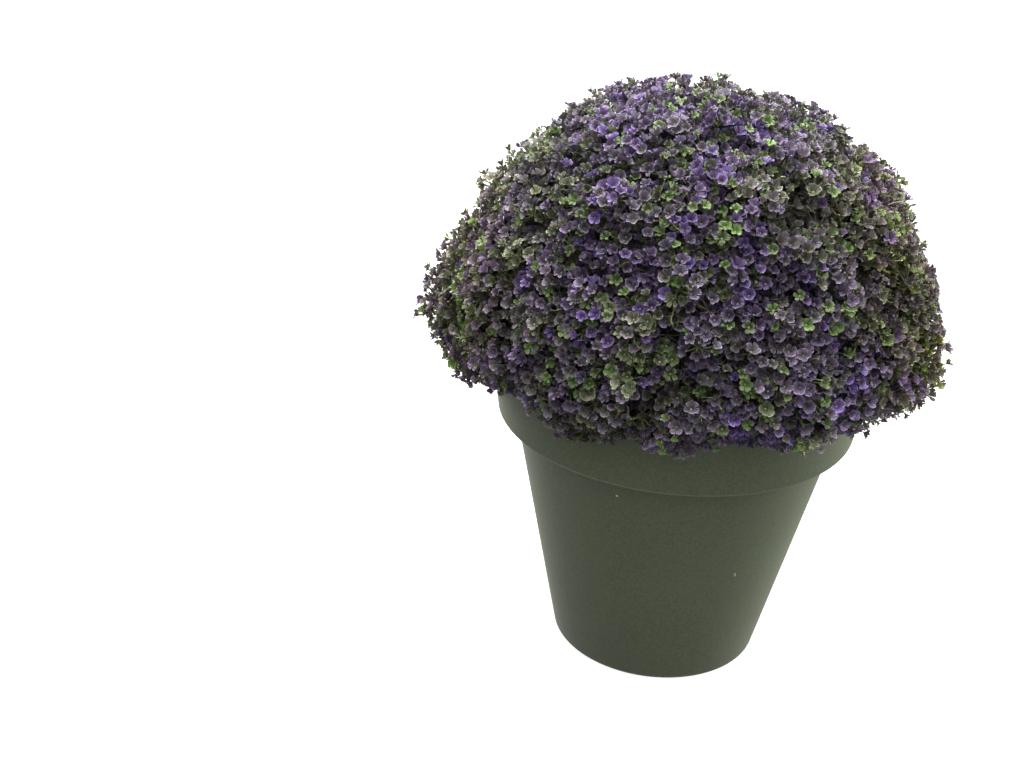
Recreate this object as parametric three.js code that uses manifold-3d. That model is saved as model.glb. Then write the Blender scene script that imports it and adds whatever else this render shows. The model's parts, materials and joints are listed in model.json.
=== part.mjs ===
// A mounded flowering plant in a round tapered pot: the pot, its compost, nine
// branching stems and the flower sprays that they carry. Millimetres, +Z up,
// the origin at the centre of the pot's underside, the front towards -Y.
import * as THREE from 'three';
import { mergeVertices } from 'three/addons/utils/BufferGeometryUtils.js';
import Module from 'manifold-3d';

// ---- pot ----
const POT_H = 263.2;            // height to the top of the rim
const RIM_R = 150.0;            // outer radius of the collar at its top
const COLLAR_Z = 205.9;         // lower edge of the collar
const COLLAR_R = 143.2;         // outer radius of the collar at its lower edge
const WALL_R = 130.0;           // outer radius of the wall just under the collar
const BASE_R = 85.9;            // outer radius of the wall carried down to the ground
const WALL_T = 3.0;             // wall thickness
const FLOOR_T = 3.4;            // floor thickness
const POT_SEGMENTS = 60;
const DRAIN_R = 6.0, DRAIN_PCR = 52.0, DRAIN_COUNT = 6;

// ---- compost ----
const GAP = 0.35;               // clearance between parts that rest on each other
const SOIL_EDGE_Z = 236.0;      // level at the pot wall
const SOIL_CROWN = 9.0;         // how much the middle stands above that
const SOIL_SEGMENTS = 40;
const SOCKET_DEPTH = 34.0;      // how deep each stem stands in the compost

// ---- flower mound ----
// The mound is measured from MOUND_Z on the pot's axis. MOUND_R is its radius
// every 10 degrees of polar angle from straight up. SKIRT is the polar angle at
// which its lower edge ends, every 15 degrees of azimuth from +X towards +Y.
const MOUND_Z = 286.0;
const MOUND_R = [182.9, 183.6, 185.4, 187.1, 187.8, 188.3, 189.2, 190.4, 194.5, 197.0, 190.0, 178.4, 163.7, 145.1];
const SKIRT = [111, 111, 109, 106, 104, 106, 108, 107, 104, 106, 109, 111, 112, 109.5, 103.5, 100, 103, 101, 100, 98, 101.5, 98.5, 101.5, 108.5];
const SKIRT_REF = 114;          // polar angle of MOUND_R that the skirt's edge takes
// Each spray: azimuth and polar angle of its centre, and how much it stands out
const SPRAYS = [
  [314.1, 10.8, 0.004], [142.9, 20.5, 0.003], [71.1, 23.3, -0.014], [24.9, 29.4, -0.011], [234.6, 31.3, 0.015],
  [320.7, 33, 0.005], [171.2, 35.4, -0.019], [279.1, 40, -0.01], [50.5, 41.5, 0.015], [125.8, 44.9, 0.002],
  [207.9, 48, -0.001], [0.3, 48.2, -0.003], [244.1, 48.6, 0.002], [99.4, 50.4, 0.022], [31.8, 58.7, 0.016],
  [178.9, 59, -0.012], [299.8, 59.7, 0.008], [331.7, 60, 0.018], [145.3, 63, -0.015], [61.2, 66.1, -0.006],
  [273, 67.4, -0.016], [119.2, 69.8, 0.003], [210.5, 72.2, 0.015], [235.6, 72.4, -0.002], [187.6, 73.5, 0.02],
  [91.7, 74.7, 0.019], [258.7, 74.7, -0.001], [13.5, 78.1, -0.02], [34.6, 79.4, 0.019], [349, 80.4, -0.004],
  [162.2, 81.9, -0.004], [318.5, 83, 0.026], [291.2, 84.7, 0.005], [109.9, 89.4, 0.002], [137.1, 90.6, -0.01],
  [214.3, 91.8, -0.04], [243, 92.7, -0.011], [273.4, 93, 0.007], [332.6, 94.5, -0.008], [55.9, 95.3, -0.019],
  [83.9, 95.9, 0.008], [193, 97, 0.045], [28.3, 98.7, 0.007], [0.6, 99.6, -0.033], [167.6, 101.7, 0.023],
];
const SPREAD = 0.22;            // how far one spray's stand-out carries, radians
const VALLEY = 7.0;             // depth of the valley between two sprays
const VALLEY_W = 0.16;          // its width, radians
// A broad bulge or dip: azimuth, polar angle, height, radius in radians
const LOBES = [[183, 87, 9, 0.2], [203, 101, -6, 0.15]];
const SPRAY_T = 26.0;           // depth of a spray, from its florets to its stalks' fork
const SPRAY_GAP = 1.0;          // half of the gap between two sprays
const RAYS = 14;                // corners round one spray

// ---- stems ----
const TOP_GROUP = 38;           // sprays within this polar angle share the middle stem
const SIDE_STEMS = 8;
const STEM_R = 5.2, FORK_R = 3.4, TWIG_R = 1.9;

const wasm = await Module();
wasm.setup();

const rad = (d) => d * Math.PI / 180;
const mix = (a, b, t) => a + (b - a) * t;
const smooth = (t) => { t = Math.min(Math.max(t, 0), 1); return t * t * (3 - 2 * t); };

// ---------------------------------------------------------------- mesh helpers
function closed(positions, index) {
  let g = new THREE.BufferGeometry();
  g.setAttribute('position', new THREE.Float32BufferAttribute(positions, 3));
  g.setIndex(index);
  return clean(g);
}

function clean(geometry) {
  let g = geometry.clone();
  g.deleteAttribute('normal');
  g.deleteAttribute('uv');
  g = mergeVertices(g, 1e-4);
  const p = g.attributes.position, old = g.index.array, tris = [];
  for (let i = 0; i < old.length; i += 3) {
    const [a, b, c] = [old[i], old[i + 1], old[i + 2]];
    if (a !== b && b !== c && c !== a) tris.push(a, b, c);
  }
  let volume = 0;
  const A = new THREE.Vector3(), B = new THREE.Vector3(), C = new THREE.Vector3();
  for (let i = 0; i < tris.length; i += 3) {
    A.fromBufferAttribute(p, tris[i]);
    B.fromBufferAttribute(p, tris[i + 1]);
    C.fromBufferAttribute(p, tris[i + 2]);
    volume += A.dot(B.cross(C)) / 6;
  }
  if (volume < 0) for (let i = 0; i < tris.length; i += 3) [tris[i], tris[i + 1]] = [tris[i + 1], tris[i]];
  g.setIndex(tris);
  return g;
}

function solid(geometry) {
  const g = clean(geometry);
  const mesh = new wasm.Mesh({
    numProp: 3,
    vertProperties: new Float32Array(g.attributes.position.array),
    triVerts: new Uint32Array(g.index.array),
  });
  mesh.merge();
  return new wasm.Manifold(mesh);
}

function fromSolid(body) {
  const m = body.getMesh();
  const g = new THREE.BufferGeometry();
  g.setAttribute('position', new THREE.BufferAttribute(new Float32Array(m.vertProperties), 3));
  g.setIndex(new THREE.BufferAttribute(new Uint32Array(m.triVerts), 1));
  return g;
}

// A round solid about +Z from an outline of [radius, height] points
function turned(outline, segments) {
  const g = new THREE.LatheGeometry(outline.map(([r, z]) => new THREE.Vector2(r, z)), segments);
  g.rotateX(Math.PI / 2);
  return g;
}

// A tapering rod along a curve, closed at both ends
function rod(curve, steps, sides, r0, r1) {
  const pts = [], idx = [];
  const frames = curve.computeFrenetFrames(steps, false);
  for (let i = 0; i <= steps; i++) {
    const c = curve.getPointAt(i / steps), r = mix(r0, r1, i / steps);
    for (let k = 0; k < sides; k++) {
      const a = 2 * Math.PI * k / sides;
      const v = c.clone()
        .addScaledVector(frames.normals[i], r * Math.cos(a))
        .addScaledVector(frames.binormals[i], r * Math.sin(a));
      pts.push(v.x, v.y, v.z);
    }
  }
  for (let i = 0; i < steps; i++) for (let k = 0; k < sides; k++) {
    const a = i * sides + k, b = i * sides + (k + 1) % sides;
    idx.push(a, b, a + sides, b, b + sides, a + sides);
  }
  for (let k = 1; k < sides - 1; k++) {
    idx.push(0, k + 1, k);
    const o = steps * sides;
    idx.push(o, o + k, o + k + 1);
  }
  return closed(pts, idx);
}

// ---------------------------------------------------------------- mound surface
const unit = (az, pol) => new THREE.Vector3(
  Math.sin(rad(pol)) * Math.cos(rad(az)), Math.sin(rad(pol)) * Math.sin(rad(az)), Math.cos(rad(pol)));
const seeds = SPRAYS.map(([az, pol]) => unit(az, pol));
const lobes = LOBES.map(([az, pol, h, w]) => [unit(az, pol), h, w]);

function skirtAt(v) {
  let a = Math.atan2(v.y, v.x) / rad(15);
  a = (a % 24 + 24) % 24;
  const i = Math.floor(a);
  return mix(SKIRT[i % 24], SKIRT[(i + 1) % 24], a - i);
}

function radiusAt(polar, skirt) {
  if (polar > 90) polar = 90 + (polar - 90) * (SKIRT_REF - 90) / (skirt - 90);
  const x = Math.min(polar / 10, MOUND_R.length - 1.001), i = Math.floor(x), t = x - i;
  const at = (k) => MOUND_R[Math.min(Math.max(k < 0 ? -k : k, 0), MOUND_R.length - 1)];
  const [a, b, c, d] = [at(i - 1), at(i), at(i + 1), at(i + 2)];
  return b + 0.5 * t * (c - a + t * (2 * a - 5 * b + 4 * c - d + t * (3 * (b - c) + d - a)));
}

function mound(v) {
  const polar = Math.acos(Math.min(Math.max(v.z, -1), 1)) * 180 / Math.PI;
  let sum = 0, out = 0, first = 9, second = 9;
  seeds.forEach((s, i) => {
    const a = Math.acos(Math.min(Math.max(v.dot(s), -1), 1));
    const w = Math.exp(-((a / SPREAD) ** 2));
    sum += w; out += w * SPRAYS[i][2];
    if (a < first) { second = first; first = a; } else if (a < second) second = a;
  });
  let r = radiusAt(polar, skirtAt(v)) * (1 + out / sum) - VALLEY * (1 - smooth((second - first) / VALLEY_W));
  for (const [dir, h, w] of lobes) r += h * Math.exp(-((Math.acos(Math.min(v.dot(dir), 1)) / w) ** 2));
  return r;
}

// Low down the skirt is thin, and its outer side gives way to the collar
function outside(v) {
  const flat = Math.hypot(v.x, v.y);
  let outer = mound(v);
  if (MOUND_Z + v.z * outer < POT_H + 8) outer = Math.max(outer, (RIM_R + 8.6) / flat);
  return outer;
}
// The inner side of a spray, kept outside the pot's collar where it hangs beside it
function inside(v) {
  const flat = Math.hypot(v.x, v.y), outer = outside(v);
  let inner = outer - SPRAY_T;
  if (MOUND_Z + v.z * inner < POT_H + 8) inner = Math.max(inner, (RIM_R + 3.6) / flat);
  return Math.min(inner, outer - 4.5);
}

// One spray's outline round its centre: the angle out to its edge on each ray
function reach(i) {
  const s = seeds[i];
  const u = new THREE.Vector3().crossVectors(Math.abs(s.z) > 0.95 ? new THREE.Vector3(1, 0, 0) : new THREE.Vector3(0, 0, 1), s).normalize();
  const w = new THREE.Vector3().crossVectors(s, u);
  const rays = [];
  for (let k = 0; k < RAYS; k++) {
    const a = 2 * Math.PI * (k + 0.5) / RAYS;
    const t = u.clone().multiplyScalar(Math.cos(a)).addScaledVector(w, Math.sin(a));
    let far = 0.5;
    seeds.forEach((o, j) => {
      if (j === i || t.dot(o) <= 1e-6) return;
      const x = Math.atan2(1 - s.dot(o), t.dot(o));
      // both sprays stop SPRAY_GAP short of the plane between them
      const plane = o.clone().sub(s).normalize();
      const slope = Math.abs(plane.dot(s.clone().multiplyScalar(-Math.sin(x)).addScaledVector(t, Math.cos(x))));
      far = Math.min(far, x - SPRAY_GAP / 160 / Math.max(slope, 0.3));
    });
    const at = (x) => s.clone().multiplyScalar(Math.cos(x)).addScaledVector(t, Math.sin(x));
    const below = (x) => { const v = at(x); return Math.acos(v.z) * 180 / Math.PI > skirtAt(v); };
    if (below(far)) {
      let lo = 0, hi = far;
      for (let n = 0; n < 24; n++) { const m = (lo + hi) / 2; if (below(m)) hi = m; else lo = m; }
      far = lo;
    }
    rays.push([at, far]);
  }
  return rays;
}

function sprayGeometry(i) {
  const rays = reach(i), pts = [], idx = [];
  const put = (v, r) => { pts.push(v.x * r, v.y * r, MOUND_Z + v.z * r); return pts.length / 3 - 1; };
  const ring = (f, side) => rays.map(([at, far]) => { const v = at(far * f); return put(v, side(v)); });
  const top = put(seeds[i], outside(seeds[i])), under = put(seeds[i], inside(seeds[i]));
  const outer = [0.42, 0.78, 1].map((f) => ring(f, outside));
  const inner = [1, 0.55].map((f) => ring(f, inside));
  const n = RAYS;
  const band = (a, b) => { for (let k = 0; k < n; k++) { const m = (k + 1) % n; idx.push(a[k], b[k], b[m], a[k], b[m], a[m]); } };
  for (let k = 0; k < n; k++) idx.push(top, outer[0][k], outer[0][(k + 1) % n]);
  band(outer[0], outer[1]);
  band(outer[1], outer[2]);
  band(outer[2], inner[0]);
  band(inner[0], inner[1]);
  for (let k = 0; k < n; k++) idx.push(under, inner[1][(k + 1) % n], inner[1][k]);
  return closed(pts, idx);
}

// ---------------------------------------------------------------- stems
const soilZ = (r) => SOIL_EDGE_Z + SOIL_CROWN * (1 - (r / 138) ** 2);
const ids = SPRAYS.map((_, i) => i);
const groups = [ids.filter((i) => SPRAYS[i][1] < TOP_GROUP)];
const sides = ids.filter((i) => SPRAYS[i][1] >= TOP_GROUP).sort((a, b) => SPRAYS[a][0] - SPRAYS[b][0]);
for (let g = 0; g < SIDE_STEMS; g++)
  groups.push(sides.slice(Math.round(g * sides.length / SIDE_STEMS), Math.round((g + 1) * sides.length / SIDE_STEMS)));

const stems = groups.map((members, g) => {
  const mean = new THREE.Vector3();
  members.forEach((i) => mean.add(seeds[i]));
  mean.normalize();
  const az = Math.atan2(mean.y, mean.x), root = g === 0 ? 4 : 44;
  const foot = new THREE.Vector3(root * Math.cos(az), root * Math.sin(az), soilZ(root) - SOCKET_DEPTH + 0.6);
  const fork = g === 0
    ? new THREE.Vector3(mean.x * 20, mean.y * 20, MOUND_Z + 62)
    : new THREE.Vector3(78 * Math.cos(az), 78 * Math.sin(az), MOUND_Z + 22);
  const knee = new THREE.Vector3(foot.x * 1.02, foot.y * 1.02, g === 0 ? 300 : 268);
  const trunk = new THREE.QuadraticBezierCurve3(foot, knee, fork);
  let body = solid(rod(trunk, 6, 7, STEM_R, FORK_R));
  const along = trunk.getTangent(1);
  for (const i of members) {
    let aim = seeds[i], clear = 0.8;
    if (SPRAYS[i][1] > 91) {
      // a low spray is met high on its inner side, where the twig clears the pot's rim
      aim = reach(i).map(([at, far]) => at(far * 0.55)).sort((a, b) => b.z - a.z)[0];
      clear = 1.6;
    }
    const end = aim.clone().multiplyScalar(inside(aim) - clear).add(new THREE.Vector3(0, 0, MOUND_Z));
    const start = fork.clone().addScaledVector(along, -FORK_R * 1.6);
    const twig = new THREE.CubicBezierCurve3(start, start.clone().addScaledVector(along, 22), end.clone().addScaledVector(aim, -34), end);
    body = body.add(solid(rod(twig, 5, 5, FORK_R * 0.78, TWIG_R)));
  }
  return { body, foot, trunk };
});

// ---------------------------------------------------------------- pot and compost
const slope = (WALL_R - BASE_R) / COLLAR_Z;
const collarAt = (z) => mix(COLLAR_R, RIM_R, (z - COLLAR_Z) / (POT_H - COLLAR_Z));
const wallAt = (z) => BASE_R + slope * z;
const potOutline = [
  [0, 0], [wallAt(0) - 3.6, 0], [wallAt(1.2) - 1.0, 1.2], [wallAt(4), 4],
  [wallAt(COLLAR_Z), COLLAR_Z + 0.0],
  [COLLAR_R - 2.2, COLLAR_Z], [COLLAR_R - 0.4, COLLAR_Z + 0.9], [collarAt(COLLAR_Z + 3), COLLAR_Z + 3],
  [collarAt(POT_H - 1.6), POT_H - 1.6], [RIM_R - 1.4, POT_H], [RIM_R - 4.4, POT_H], [RIM_R - 6.0, POT_H - 1.6],
  [collarAt(POT_H - 9) - WALL_T, POT_H - 9],
  [collarAt(COLLAR_Z + WALL_T) - WALL_T, COLLAR_Z + WALL_T], [wallAt(COLLAR_Z + WALL_T) - WALL_T, COLLAR_Z + WALL_T],
  [wallAt(FLOOR_T + 4) - WALL_T, FLOOR_T + 4], [wallAt(FLOOR_T) - WALL_T - 3.5, FLOOR_T], [0, FLOOR_T],
];
let potBody = solid(turned(potOutline, POT_SEGMENTS));
for (let k = 0; k < DRAIN_COUNT; k++) {
  const a = 2 * Math.PI * (k + 0.5) / DRAIN_COUNT;
  const drill = new THREE.CylinderGeometry(DRAIN_R, DRAIN_R, 20, 10);
  drill.rotateX(Math.PI / 2);
  drill.translate(DRAIN_PCR * Math.cos(a), DRAIN_PCR * Math.sin(a), 2);
  potBody = potBody.subtract(solid(drill));
}

const inner = (z) => (z > COLLAR_Z + WALL_T ? collarAt(z) : wallAt(z)) - WALL_T - GAP;
const soilOutline = [
  [0, FLOOR_T + GAP], [inner(FLOOR_T + 5) - 4.5, FLOOR_T + GAP], [inner(FLOOR_T + 5), FLOOR_T + 5],
  [inner(COLLAR_Z), COLLAR_Z + WALL_T + GAP], [inner(COLLAR_Z + WALL_T + 1) - 0.3, COLLAR_Z + WALL_T + GAP],
  [inner(SOIL_EDGE_Z) - 0.2, SOIL_EDGE_Z], [110, soilZ(110)], [75, soilZ(75)], [38, soilZ(38)], [0, soilZ(0)],
];
let soilBody = solid(turned(soilOutline, SOIL_SEGMENTS));
for (const { foot, trunk } of stems) {
  const t = trunk.getTangent(0);
  const heel = new THREE.LineCurve3(foot.clone().addScaledVector(t, -0.6), foot.clone().addScaledVector(t, 3));
  soilBody = soilBody.subtract(solid(rod(trunk, 6, 7, STEM_R + 0.6, FORK_R + 0.6)));
  soilBody = soilBody.subtract(solid(rod(heel, 1, 10, STEM_R + 0.9, STEM_R + 0.9)));
}

// ---------------------------------------------------------------- materials
const potPlastic = new THREE.MeshStandardMaterial({ color: 0x47503f, roughness: 0.55, metalness: 0 });
const compost = new THREE.MeshStandardMaterial({ color: 0x2b211a, roughness: 0.95, metalness: 0 });
const stemGreen = new THREE.MeshStandardMaterial({ color: 0x5f6d42, roughness: 0.6, metalness: 0 });
const floretTones = [0x6a5a86, 0x6c6472, 0x5f7350, 0x5d4e8c].map(
  (color) => new THREE.MeshStandardMaterial({ color, roughness: 0.45, metalness: 0 }));

// ---------------------------------------------------------------- assembly
const plant = new THREE.Group();
const add = (name, geometry, material) => {
  const mesh = new THREE.Mesh(geometry, material);
  mesh.name = name;
  plant.add(mesh);
};
add('pot', fromSolid(potBody), potPlastic);
add('compost', fromSolid(soilBody), compost);
stems.forEach(({ body }, g) => add(`stem_${g + 1}`, fromSolid(body), stemGreen));
SPRAYS.forEach((_, i) => add(`flower_spray_${String(i + 1).padStart(2, '0')}`, sprayGeometry(i), floretTones[(i * 7) % 4]));

export default plant;
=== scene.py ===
"""A mounded flowering plant in a round tapered pot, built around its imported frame.

Lengths in the making are millimetres, measured as in the frame: +Z up, the origin at the centre
of the pot's underside, the front towards -Y. They become metres when a mesh is written.
"""

import json
import math

import bpy
import numpy as np
from mathutils import Matrix, Vector

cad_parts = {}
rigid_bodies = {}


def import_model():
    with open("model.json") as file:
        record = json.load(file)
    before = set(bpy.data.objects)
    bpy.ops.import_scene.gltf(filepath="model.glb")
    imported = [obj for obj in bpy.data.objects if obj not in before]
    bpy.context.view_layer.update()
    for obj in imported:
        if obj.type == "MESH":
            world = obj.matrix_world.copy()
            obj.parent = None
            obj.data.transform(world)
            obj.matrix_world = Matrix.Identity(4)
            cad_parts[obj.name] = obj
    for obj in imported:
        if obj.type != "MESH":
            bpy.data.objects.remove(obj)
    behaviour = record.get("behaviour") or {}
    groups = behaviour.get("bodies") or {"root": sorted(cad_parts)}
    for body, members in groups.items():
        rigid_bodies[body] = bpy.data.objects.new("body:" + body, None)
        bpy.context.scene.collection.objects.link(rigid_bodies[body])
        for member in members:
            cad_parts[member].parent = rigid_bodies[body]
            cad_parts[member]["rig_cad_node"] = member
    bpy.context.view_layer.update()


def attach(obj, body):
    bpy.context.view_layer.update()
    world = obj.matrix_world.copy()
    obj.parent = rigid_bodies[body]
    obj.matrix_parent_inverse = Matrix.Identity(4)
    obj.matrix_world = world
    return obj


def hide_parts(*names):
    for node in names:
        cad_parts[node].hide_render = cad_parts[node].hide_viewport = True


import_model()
rng = np.random.default_rng(20917)

# ------------------------------------------------------------------ sizes shared with the frame
POT_H, RIM_R, COLLAR_Z, COLLAR_R = 263.2, 150.0, 205.9, 143.2
WALL_R, BASE_R, WALL_T, FLOOR_T = 130.0, 85.9, 3.0, 3.4
DRAIN_R, DRAIN_PCR, DRAIN_COUNT = 6.0, 52.0, 6
SOIL_EDGE_Z, SOIL_CROWN, SOCKET_DEPTH, GAP = 236.0, 9.0, 34.0, 0.35
MOUND_Z = 286.0
MOUND_R = np.array([182.9, 183.6, 185.4, 187.1, 187.8, 188.3, 189.2, 190.4, 194.5, 197.0, 190.0, 178.4, 163.7, 145.1])
SKIRT = np.array([111, 111, 109, 106, 104, 106, 108, 107, 104, 106, 109, 111, 112, 109.5, 103.5, 100, 103, 101,
                  100, 98, 101.5, 98.5, 101.5, 108.5])
SKIRT_REF = 114.0
SPRAYS = np.array([
    [314.1, 10.8, 0.004], [142.9, 20.5, 0.003], [71.1, 23.3, -0.014], [24.9, 29.4, -0.011], [234.6, 31.3, 0.015],
    [320.7, 33, 0.005], [171.2, 35.4, -0.019], [279.1, 40, -0.01], [50.5, 41.5, 0.015], [125.8, 44.9, 0.002],
    [207.9, 48, -0.001], [0.3, 48.2, -0.003], [244.1, 48.6, 0.002], [99.4, 50.4, 0.022], [31.8, 58.7, 0.016],
    [178.9, 59, -0.012], [299.8, 59.7, 0.008], [331.7, 60, 0.018], [145.3, 63, -0.015], [61.2, 66.1, -0.006],
    [273, 67.4, -0.016], [119.2, 69.8, 0.003], [210.5, 72.2, 0.015], [235.6, 72.4, -0.002], [187.6, 73.5, 0.02],
    [91.7, 74.7, 0.019], [258.7, 74.7, -0.001], [13.5, 78.1, -0.02], [34.6, 79.4, 0.019], [349, 80.4, -0.004],
    [162.2, 81.9, -0.004], [318.5, 83, 0.026], [291.2, 84.7, 0.005], [109.9, 89.4, 0.002], [137.1, 90.6, -0.01],
    [214.3, 91.8, -0.04], [243, 92.7, -0.011], [273.4, 93, 0.007], [332.6, 94.5, -0.008], [55.9, 95.3, -0.019],
    [83.9, 95.9, 0.008], [193, 97, 0.045], [28.3, 98.7, 0.007], [0.6, 99.6, -0.033], [167.6, 101.7, 0.023]])
SPREAD, VALLEY, VALLEY_W = 0.22, 7.0, 0.16
LOBES = [(183, 87, 9, 0.2), (203, 101, -6, 0.15)]
SPRAY_T, SPRAY_GAP, RAYS = 26.0, 1.0, 14
TOP_GROUP, SIDE_STEMS = 38, 8
STEM_R, FORK_R, TWIG_R = 5.2, 3.4, 1.9


def unit(az, pol):
    az, pol = np.radians(az), np.radians(pol)
    return np.stack([np.sin(pol) * np.cos(az), np.sin(pol) * np.sin(az), np.cos(pol)], -1)


def normed(v):
    return v / np.maximum(np.linalg.norm(v, axis=-1, keepdims=True), 1e-9)


def smooth(t):
    t = np.clip(t, 0, 1)
    return t * t * (3 - 2 * t)


def wobble(p, size, count, seed):
    """A sum of random waves, about -1 to 1, whose lengths are near size."""
    g = np.random.default_rng(seed)
    k = normed(g.normal(size=(count, 3))) * (2 * np.pi / size * g.uniform(0.6, 1.7, (count, 1)))
    return np.sin(p @ k.T + g.uniform(0, 2 * np.pi, count)).sum(1) / math.sqrt(count)


seeds = unit(SPRAYS[:, 0], SPRAYS[:, 1])


# ------------------------------------------------------------------ mound surface, from MOUND_Z on the axis
def skirt_at(v):
    a = np.degrees(np.arctan2(v[..., 1], v[..., 0])) / 15 % 24
    i = np.floor(a).astype(int) % 24
    return SKIRT[i] + (SKIRT[(i + 1) % 24] - SKIRT[i]) * (a - np.floor(a))


def radius_at(polar, skirt):
    polar = np.where(polar > 90, 90 + (polar - 90) * (SKIRT_REF - 90) / (skirt - 90), polar)
    x = np.minimum(polar / 10, len(MOUND_R) - 1.001)
    i = np.floor(x).astype(int)
    t = x - i
    a, b, c, d = (MOUND_R[np.minimum(np.abs(i + k), len(MOUND_R) - 1)] for k in (-1, 0, 1, 2))
    return b + 0.5 * t * (c - a + t * (2 * a - 5 * b + 4 * c - d + t * (3 * (b - c) + d - a)))


def angles_to_seeds(v):
    return np.arccos(np.clip(v @ seeds.T, -1, 1))


def mound(v):
    polar = np.degrees(np.arccos(np.clip(v[:, 2], -1, 1)))
    ang = angles_to_seeds(v)
    w = np.exp(-((ang / SPREAD) ** 2))
    out = (w * SPRAYS[:, 2]).sum(1) / w.sum(1)
    two = np.partition(ang, 1, axis=1)
    r = radius_at(polar, skirt_at(v)) * (1 + out) - VALLEY * (1 - smooth((two[:, 1] - two[:, 0]) / VALLEY_W))
    for az, pol, h, w in LOBES:
        r = r + h * np.exp(-((np.arccos(np.clip(v @ unit(az, pol), -1, 1)) / w) ** 2))
    return r


def outside(v):
    flat, r = np.hypot(v[:, 0], v[:, 1]), mound(v)
    low = MOUND_Z + v[:, 2] * r < POT_H + 8
    return np.where(low, np.maximum(r, (RIM_R + 8.6) / np.maximum(flat, 1e-3)), r)


def inside(v):
    flat, outer = np.hypot(v[:, 0], v[:, 1]), outside(v)
    r = outer - SPRAY_T
    low = MOUND_Z + v[:, 2] * r < POT_H + 8
    r = np.where(low, np.maximum(r, (RIM_R + 3.6) / np.maximum(flat, 1e-3)), r)
    return np.minimum(r, outer - 4.5)


def at(v, r):
    """The point r out from the mound's middle along v."""
    p = v * np.asarray(r)[..., None]
    p[..., 2] += MOUND_Z
    return p


# ------------------------------------------------------------------ mesh helpers
def write_mesh(name, verts, tris, attrs=None, uv=None, mats=(), mat_index=None, smooth_faces=True):
    """verts (N, 3) in millimetres, tris (M, 3), attrs {name: (N,)}, uv (M, 3, 2)."""
    me = bpy.data.meshes.new(name)
    me.vertices.add(len(verts))
    me.vertices.foreach_set("co", (np.asarray(verts, float) * 0.001).astype(np.float32).ravel())
    me.loops.add(len(tris) * 3)
    me.loops.foreach_set("vertex_index", np.asarray(tris, np.int32).ravel())
    me.polygons.add(len(tris))
    me.polygons.foreach_set("loop_start", np.arange(0, len(tris) * 3, 3, dtype=np.int32))
    me.polygons.foreach_set("use_smooth", np.full(len(tris), smooth_faces, bool))
    for m in mats:
        me.materials.append(m)
    if mat_index is not None:
        me.polygons.foreach_set("material_index", np.asarray(mat_index, np.int32))
    me.update(calc_edges=True)
    if uv is not None:
        me.uv_layers.new(name="OFBake").data.foreach_set("uv", np.asarray(uv, np.float32).ravel())
    for key, values in (attrs or {}).items():
        me.attributes.new(key, "FLOAT", "POINT").data.foreach_set("value", np.asarray(values, np.float32))
    ob = bpy.data.objects.new(name, me)
    bpy.context.scene.collection.objects.link(ob)
    return ob


def bezier(points, steps):
    """Points on cubic curves: points is four arrays (N, 3), the result (N, steps + 1, 3)."""
    t = np.linspace(0, 1, steps + 1)[None, :, None]
    a, b, c, d = (p[:, None, :] for p in points)
    return (1 - t) ** 3 * a + 3 * (1 - t) ** 2 * t * b + 3 * (1 - t) * t ** 2 * c + t ** 3 * d


def tubes(path, radius, sides, cap_end=True):
    """Round rods along paths (N, K, 3) with radii (N, K): vertices, triangles, and how far along each vertex is."""
    n, k, _ = path.shape
    tangent = normed(np.gradient(path, axis=1))
    mid = normed(path[:, -1] - path[:, 0])
    ref = np.where(np.abs(mid[:, 2:3]) > 0.8, np.array([[1.0, 0, 0]]), np.array([[0, 0, 1.0]]))
    ref = normed(np.cross(mid, ref))[:, None, :]
    across = normed(ref - (ref * tangent).sum(-1, keepdims=True) * tangent)
    other = np.cross(tangent, across)
    a = np.arange(sides) / sides * 2 * np.pi
    ring = across[:, :, None] * np.cos(a)[:, None] + other[:, :, None] * np.sin(a)[:, None]
    verts = (path[:, :, None] + ring * radius[:, :, None, None]).reshape(-1, 3)
    quad = []
    for i in range(k - 1):
        for s in range(sides):
            p, q = i * sides + s, i * sides + (s + 1) % sides
            quad += [(p, q, p + sides), (q, q + sides, p + sides)]
    if cap_end:
        for s in range(1, sides - 1):
            o = (k - 1) * sides
            quad += [(o, o + s, o + s + 1), (0, s + 1, s)]
    tris = (np.array(quad)[None] + (np.arange(n) * k * sides)[:, None, None]).reshape(-1, 3)
    along = np.broadcast_to(np.linspace(0, 1, k)[None, :, None], (n, k, sides)).ravel()
    return verts, tris, along


class Heap:
    """Gathers parts of one mesh."""

    def __init__(self):
        self.v, self.t, self.a, self.count = [], [], {}, 0

    def add(self, verts, tris, **attrs):
        for key, values in attrs.items():
            self.a.setdefault(key, []).append(np.broadcast_to(values, (len(verts),)))
        self.v.append(verts)
        self.t.append(tris + self.count)
        self.count += len(verts)

    def arrays(self):
        return np.concatenate(self.v), np.concatenate(self.t), {k: np.concatenate(x) for k, x in self.a.items()}


def thin_out(points, gap, order=None):
    """Indices of points kept so that no two are nearer than gap."""
    cells, kept = {}, []
    keys = np.floor(points / gap).astype(int)
    for i in (range(len(points)) if order is None else order):
        x, y, z = keys[i]
        p = points[i]
        ok = True
        for dx in (-1, 0, 1):
            for dy in (-1, 0, 1):
                for dz in (-1, 0, 1):
                    for q in cells.get((x + dx, y + dy, z + dz), ()):
                        if (q[0] - p[0]) ** 2 + (q[1] - p[1]) ** 2 + (q[2] - p[2]) ** 2 < gap * gap:
                            ok = False
                            break
                    if not ok:
                        break
                if not ok:
                    break
            if not ok:
                break
        if ok:
            cells.setdefault((x, y, z), []).append(p)
            kept.append(i)
    return np.array(kept)


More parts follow.
